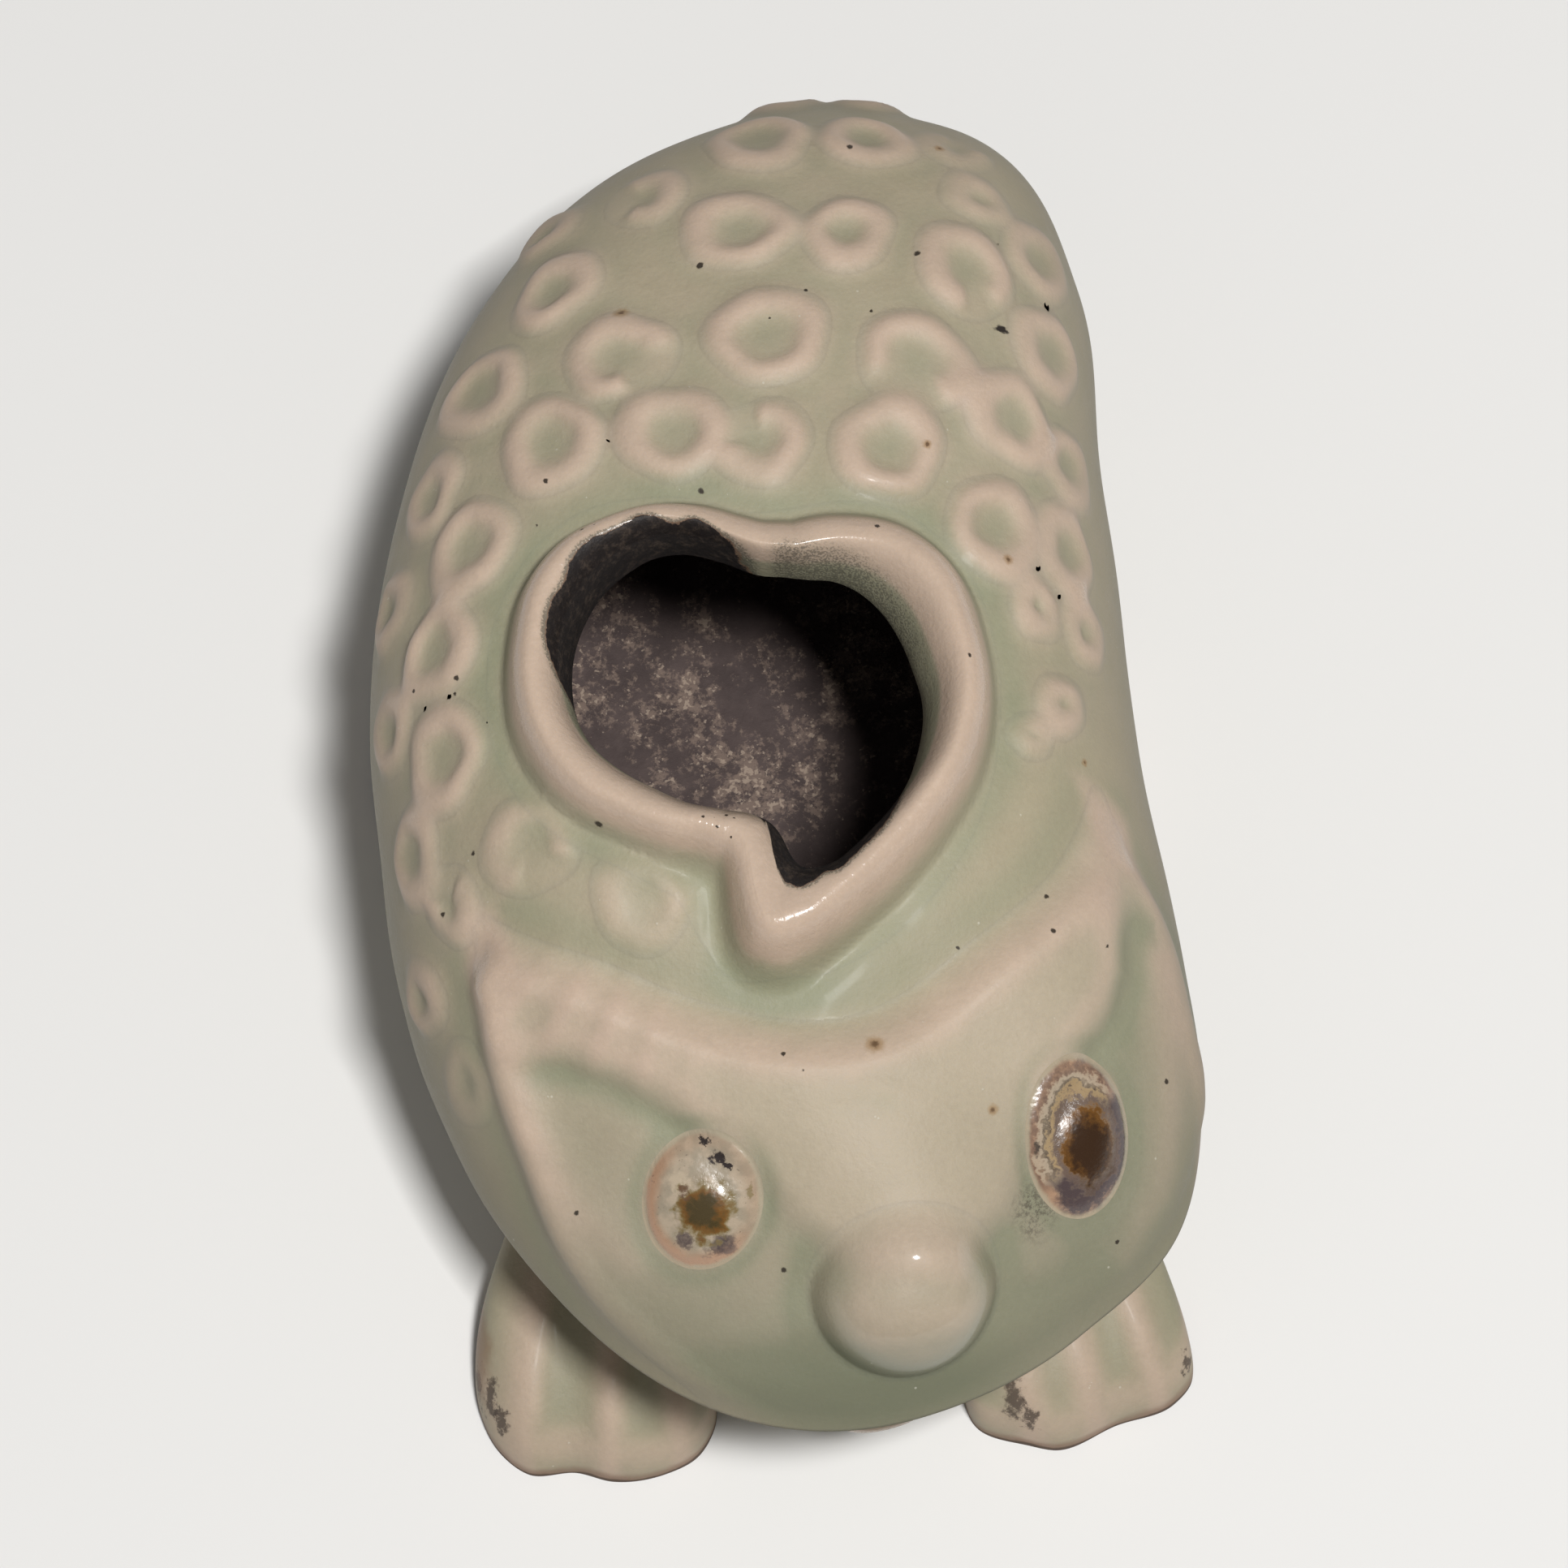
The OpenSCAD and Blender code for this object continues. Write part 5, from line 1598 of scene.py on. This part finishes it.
class DROPPER_OT_face(bpy.types.Operator):
    """Build the face plate and the nose"""

    bl_idname = "dropper.face"
    bl_label = "Face"

    def execute(self, context):
        skin = master_skin(clay_body())
        glaze = finishes()["glaze"]
        above = rows_between(skin, MOUTH_ROWS, GIRTH_ROW)
        on_top = ["nose_knob", "left_eye", "right_eye", "left_pupil", "right_pupil"]
        plate = pad(skin, "head_mask", skin.triangles[inside_of(skin, "head_mask") & above], on_top)
        build_piece("head_mask_plate", [(*plate, 0)], [glaze], ["head_mask"])
        nose = pad(skin, "nose_knob", skin.triangles[inside_of(skin, "nose_knob") & above], [])
        build_piece("nose_knob_ball", [(*nose, 0)], [glaze], ["nose_knob"])
        return {"FINISHED"}


class DROPPER_OT_eyes(bpy.types.Operator):
    """Build the eyes and their pupils"""

    bl_idname = "dropper.eyes"
    bl_label = "Eyes"

    def execute(self, context):
        skin = master_skin(clay_body())
        above = rows_between(skin, MOUTH_ROWS, GIRTH_ROW)
        for side in EYES:
            look = finishes()[side]
            eye, pupil = side + "_eye", side + "_pupil"
            oval = pad(skin, eye, skin.triangles[inside_of(skin, eye) & above], [pupil])
            build_piece(eye + "_button", [(*oval, 0)], [look], [eye])
            spot = pad(skin, pupil, skin.triangles[inside_of(skin, pupil) & above], [])
            build_piece(pupil + "_spot", [(*spot, 0)], [look], [pupil])
        return {"FINISHED"}


class DROPPER_OT_warts(bpy.types.Operator):
    """Build the wart rings in their four groups"""

    bl_idname = "dropper.warts"
    bl_label = "Warts"

    def execute(self, context):
        skin = master_skin(clay_body())
        inside = inside_of(skin, "warts") & rows_between(skin, MOUTH_ROWS, skin.rows - 1)
        inside &= ~inside_of(skin, "head_mask")
        for number, name in enumerate(WARTS):
            mine = (skin.wart_group[skin.triangles] == number).sum(axis=1) >= 2
            rings = pad(skin, "warts", skin.triangles[inside & mine], [])
            build_piece(name + "_rings", [(*rings, 0)], [finishes()["glaze"]], [name])
        return {"FINISHED"}


def foot_part(body, rear, outline, toes, heights, squareness):
    """A foot with ridged toes from its rear line in the wall to its outline, closed by a flat sole"""
    back_height, toe_height = heights
    count, steps = len(outline), 84
    along = np.sin(np.linspace(0, 1, steps) * math.pi / 2)
    place = outline[:, 2]
    start = rear(place)
    plan = start[:, None, :] + (outline[:, None, :2] - start[:, None, :]) * along[None, :, None]
    ridge = sum(bump((place - toe) / 0.17) for toe in toes)[:, None]
    t = along[None, :]
    end = np.abs(np.linspace(-1, 1, count))[:, None]
    z = mix(back_height, toe_height, t**0.8) + body.toe_ridge * (ridge - 0.6) * t
    z = z + 0.25 * bump((t - 0.74) / 0.14) * ridge
    z = z * np.clip(1 - t**8, 0, 1) ** 0.45 * np.clip(1 - end**squareness, 0, 1) ** 0.5
    top = np.concatenate([plan, z[..., None]], axis=-1)
    sole = np.concatenate([plan, 0 * z[..., None]], axis=-1)
    points = np.concatenate([top.reshape(-1, 3), sole.reshape(-1, 3)])
    upper = grid_triangles(count, steps, False)
    total = count * steps
    back = np.arange(0, total, steps)
    wall = np.concatenate([
        np.stack([back[:-1], back[1:], back[1:] + total], -1),
        np.stack([back[:-1], back[1:] + total, back[:-1] + total], -1),
    ])
    faces = np.concatenate([upper, upper[:, ::-1] + total, wall])
    edge = bump((t - 0.93) / 0.08)
    thin = np.maximum(ridge * ease(t / 0.5), 0.75 * edge)
    pool = (1 - ridge) * t * 0.85 * (1 - edge) + ease((0.4 - t) / 0.4) * 0.4
    glaze = np.stack([thin * 0.66, pool, 0.35 + 0 * thin], axis=-1).reshape(-1, 3)
    bare = np.full(len(glaze), -1.0)
    return points, faces, None, np.concatenate([glaze, glaze * 0]), np.concatenate([bare, bare * 0 + 1]), 0


def smooth_line(knots, samples):
    """Curve through the knots, at even steps along it"""
    knots = np.array(knots, float)
    gaps = np.linalg.norm(np.diff(knots[:, :2], axis=0), axis=1)
    along = np.concatenate([[0], np.cumsum(gaps)])
    slopes = np.gradient(knots, along, axis=0)
    t = np.linspace(0, along[-1], samples)
    i = np.clip(np.searchsorted(along, t, side="right") - 1, 0, len(gaps) - 1)
    u = ((t - along[i]) / gaps[i])[:, None]
    gap = gaps[i][:, None]
    return (
        (1 + 2 * u) * (1 - u) ** 2 * knots[i]
        + u * (1 - u) ** 2 * gap * slopes[i]
        + u * u * (3 - 2 * u) * knots[i + 1]
        + u * u * (u - 1) * gap * slopes[i + 1]
    )


def forepaw_part(body, foot):
    def rear(place):
        a = mix(foot["wall"][0], foot["wall"][1], (place + 1) / 2)
        return cast(a, body.wall_r(a, body.paw_height) - 1.5, 0)[:, :2]

    outline = smooth_line(foot["outline"], 170)
    return foot_part(body, rear, outline, foot["toes"], (body.paw_height, body.toe_height), 16)


def hind_foot_part(body, spread):
    middle, half = spread

    def rear(place):
        a = middle + half * place
        return cast(a, body.wall_r(a, body.hind_height) - 1.5, 0)[:, :2]

    place = np.sin(np.linspace(-1, 1, 150) * math.pi / 2)
    a = middle + half * place
    toes = (-0.62, 0, 0.62)
    scallop = sum(bump((place - toe) / 0.2) for toe in toes)
    out = mix(-0.4, body.hind_out + 0.3 * scallop, np.clip(1 - np.abs(place) ** 4, 0, 1) ** 0.6)
    front = cast(a, body.wall_r(a, body.hind_height) + out, 0)[:, :2]
    outline = np.concatenate([front, place[:, None]], axis=1)
    return foot_part(body, rear, outline, toes, (body.hind_height, body.toe_height), 4)


class DROPPER_OT_feet(bpy.types.Operator):
    """Build the forepaws and the tucked hind feet"""

    bl_idname = "dropper.feet"
    bl_label = "Feet"

    def execute(self, context):
        body = clay_body()
        glaze = finishes()["glaze"]
        for side, foot in FORE_FEET.items():
            part = forepaw_part(body, foot)
            build_piece(side + "_forepaw_toes", [part], [glaze], [side + "_forepaw"])
        for side, spread in HIND_FEET.items():
            part = hind_foot_part(body, spread)
            build_piece(side + "_hind_foot_toes", [part], [glaze], [side + "_hind_foot"])
        return {"FINISHED"}


def jaw_roll(body):
    """Closed roll of clay under the lip, swept along it and capped at both ends"""
    top = body.lip_height - body.mouth_gap
    u = np.linspace(-1, 1, 140)
    a = LIP_AZ + 46 * u
    out = mix(body.jaw_out, 0.3, np.abs(u) ** 3) * mix(0.82, 1.02, ease((u + 0.3) / 0.4))
    crown = np.minimum(top, body.edge_h(a) - body.mouth_gap)
    low = mix(top - body.jaw_height, crown - body.jaw_end, np.abs(u) ** 4)

    def at(stand_out, t):
        h = mix(low, crown, t)
        return cast(a, body.wall_r(a, h) + out * stand_out, h)

    loops = spline(np.array([at(stand_out, t) for stand_out, t in JAW_SECTION]), 64)[:-1]
    rows, count = loops.shape[:2]
    points = loops.reshape(-1, 3)
    faces = [grid_triangles(rows + 1, count, False) % len(points)]
    for k in (0, count - 1):
        ring = np.arange(rows) * count + k
        fan = np.stack([np.full(rows - 2, ring[0]), ring[1:-1], ring[2:]], -1)
        faces.append(fan if k == 0 else fan[:, ::-1])
    lip = ease((points[:, 2] - top + 2) / 2)
    glaze = np.stack([0.2 * lip, 0.5 * (1 - lip), 0 * lip], -1)
    return points, np.concatenate(faces), None, glaze, np.zeros(len(points)), 0


def spout_tube(body):
    """Short tube from inside the wall to just outside the jaw, with a rounded tip"""
    middle = body.lip_height - body.mouth_gap - body.jaw_height / 2
    wall = float(body.wall_r(LIP_AZ, middle))
    start = wall - body.wall - 0.6
    end = wall + body.jaw_out + body.tip
    outer = body.bore + body.tube
    profile = [
        (outer, start), (outer, end - 0.55), (outer - 0.12, end - 0.16),
        (mix(body.bore, outer, 0.6), end), (body.bore + 0.2, end - 0.02), (body.bore, end - 0.3),
        (body.bore, start), (outer, start),
    ]
    turn = np.linspace(0, 2 * math.pi, TUBE_SIDES, endpoint=False)
    axis = cast(LIP_AZ, 1.0, 0.0)
    side = np.array([-axis[1], axis[0], 0.0])
    loops = []
    for radius, distance in profile[:-1]:
        ring = axis * distance + side * (radius * np.cos(turn))[:, None]
        ring[:, 2] = middle + radius * np.sin(turn)
        loops.append(ring)
    points = np.concatenate(loops)
    faces = grid_triangles(len(profile), TUBE_SIDES, True) % len(points)
    thin = np.repeat([0, 0.1, 0.6, 0.9, 0.8, 0.2, 0], TUBE_SIDES)
    glaze = np.stack([thin, 0.5 - 0.5 * thin, 0 * thin], -1)
    return points, faces, None, glaze, np.zeros(len(points)), 0


class DROPPER_OT_mouth(bpy.types.Operator):
    """Build the lower jaw and the spout"""

    bl_idname = "dropper.mouth"
    bl_label = "Jaw and spout"

    def execute(self, context):
        body = clay_body()
        glaze = finishes()["glaze"]
        build_piece("lower_jaw_roll", [jaw_roll(body)], [glaze], ["lower_jaw"])
        build_piece("spout_tube", [spout_tube(body)], [glaze], ["spout"])
        return {"FINISHED"}


class DROPPER_OT_base(bpy.types.Operator):
    """Build the floor slab with its bare underside and the speckled chamber floor"""

    bl_idname = "dropper.base"
    bl_label = "Base slab"

    def execute(self, context):
        body = clay_body()
        made = finishes()
        a = np.arange(0, 360, 1.0)
        r = body.wall_r(a, body.floor)
        side = [(r - 0.04, body.floor + 0.5), (r, body.floor - 0.05)]
        side += [(r - inset, height) for inset, height in FOOT_PROFILE]
        sole = [(r * share, 0.0) for share in (0.95, 0.85, 0.7, 0.5, 0.3, 0.12, 0.02)]
        top = [(r * share, body.floor) for share in (0.02, 0.2, 0.4, 0.6, 0.8, 0.95, 1.0)]

        def rings(rows, look):
            points = np.array([cast(a, radius, height + 0 * a) for radius, height in rows])
            flat = points.reshape(-1, 3)
            glaze, bare = plain_values(flat)
            glaze[:, 1] = 0.4
            return flat, grid_triangles(len(rows), len(a), True), None, glaze, bare, look

        build_piece(
            "base_slab_foot",
            [rings(side, 0), rings([side[-1]] + sole, 1), rings(top, 2)],
            [made["glaze"], made["foot"], made["chamber"]],
            ["base_slab"],
        )
        return {"FINISHED"}


class DROPPER_OT_stage(bpy.types.Operator):
    """Lay the pale floor, hang the lamps and set up the camera"""

    bl_idname = "dropper.stage"
    bl_label = "Stage"

    def execute(self, context):
        scene = context.scene
        stage = scene.dropper_stage
        mesh = bpy.data.meshes.new("studio_floor")
        corners = [(x * FLOOR_HALF, y * FLOOR_HALF, 0) for x, y in ((-1, -1), (1, -1), (1, 1), (-1, 1))]
        mesh.from_pydata(corners, [], [(0, 1, 2, 3)])
        mesh.materials.append(make_floor(stage))
        floor = bpy.data.objects.new("studio_floor", mesh)
        scene.collection.objects.link(floor)

        aim = Vector(CAMERA_AIM) * MM
        add_lamp("key_lamp", stage.key, KEY_SIZE, Vector(KEY_PLACE), aim)
        add_lamp("fill_lamp", stage.fill, FILL_SIZE, Vector(FILL_PLACE), aim)

        world = bpy.data.worlds.new("studio_world")
        world.use_nodes = True
        world.node_tree.nodes["Background"].inputs["Color"].default_value = (1, 1, 1, 1)
        world.node_tree.nodes["Background"].inputs["Strength"].default_value = stage.world
        scene.world = world
        scene.view_settings.view_transform = "Standard"

        camera = bpy.data.objects.new("camera", bpy.data.cameras.new("camera"))
        tilt = math.radians(CAMERA_HEIGHT_ANGLE)
        camera.location = aim + Vector((0, -math.cos(tilt), math.sin(tilt))) * (CAMERA_DISTANCE * MM)
        camera.rotation_euler = (math.radians(90) - tilt, 0, 0)
        camera.data.sensor_width = SENSOR
        camera.data.lens = SENSOR * CAMERA_DISTANCE * PIXELS_PER_MM / PHOTO_SIZE
        camera.data.clip_start = 0.01
        scene.collection.objects.link(camera)
        scene.camera = camera
        return {"FINISHED"}


def make_floor(stage):
    """Plain pale studio floor"""
    f = Finish("studio_floor")
    tone = f.noise(60, 2)
    base = f.blend(tuple(c * 0.985 for c in stage.floor), stage.floor, tone)
    return f.surface(base, tone * 0.1 + 0.7, tone, 0.01 * MM, {"Specular IOR Level": 0.2})


def add_lamp(name, power, size, place, aim):
    data = bpy.data.lights.new(name, "AREA")
    data.energy = power
    data.size = size
    lamp = bpy.data.objects.new(name, data)
    lamp.location = place
    lamp.rotation_euler = (aim - place).to_track_quat("-Z", "Y").to_euler()
    bpy.context.scene.collection.objects.link(lamp)


STEPS = [
    DROPPER_OT_shells, DROPPER_OT_opening_rim, DROPPER_OT_face, DROPPER_OT_eyes, DROPPER_OT_warts,
    DROPPER_OT_feet, DROPPER_OT_mouth, DROPPER_OT_base, DROPPER_OT_stage,
]


class DROPPER_PT_panel(bpy.types.Panel):
    """Steps, sizes and colours of the water dropper"""

    bl_idname = "DROPPER_PT_panel"
    bl_label = "Water dropper"
    bl_space_type = "VIEW_3D"
    bl_region_type = "UI"
    bl_category = "Dropper"

    def draw(self, context):
        layout = self.layout
        for step in STEPS:
            layout.operator(step.bl_idname)
        for key in GROUPS:
            group = getattr(context.scene, key)
            box = layout.box()
            for name in group.__annotations__:
                box.prop(group, name)


GROUPS = {
    "dropper_body": DropperBody,
    "dropper_head": DropperHead,
    "dropper_glaze": DropperGlaze,
    "dropper_stage": DropperStage,
}


def register():
    for cls in (*GROUPS.values(), *STEPS, DROPPER_PT_panel):
        bpy.utils.register_class(cls)
    for key, cls in GROUPS.items():
        setattr(bpy.types.Scene, key, bpy.props.PointerProperty(type=cls))


def unregister():
    for key in GROUPS:
        delattr(bpy.types.Scene, key)
    for cls in (DROPPER_PT_panel, *reversed(STEPS), *reversed(GROUPS.values())):
        bpy.utils.unregister_class(cls)


def main():
    register()
    bpy.ops.dropper.shells()
    bpy.ops.dropper.opening_rim()
    bpy.ops.dropper.face()
    bpy.ops.dropper.eyes()
    bpy.ops.dropper.warts()
    bpy.ops.dropper.feet()
    bpy.ops.dropper.mouth()
    bpy.ops.dropper.base()
    bpy.ops.dropper.stage()


if __name__ == "__main__":
    main()
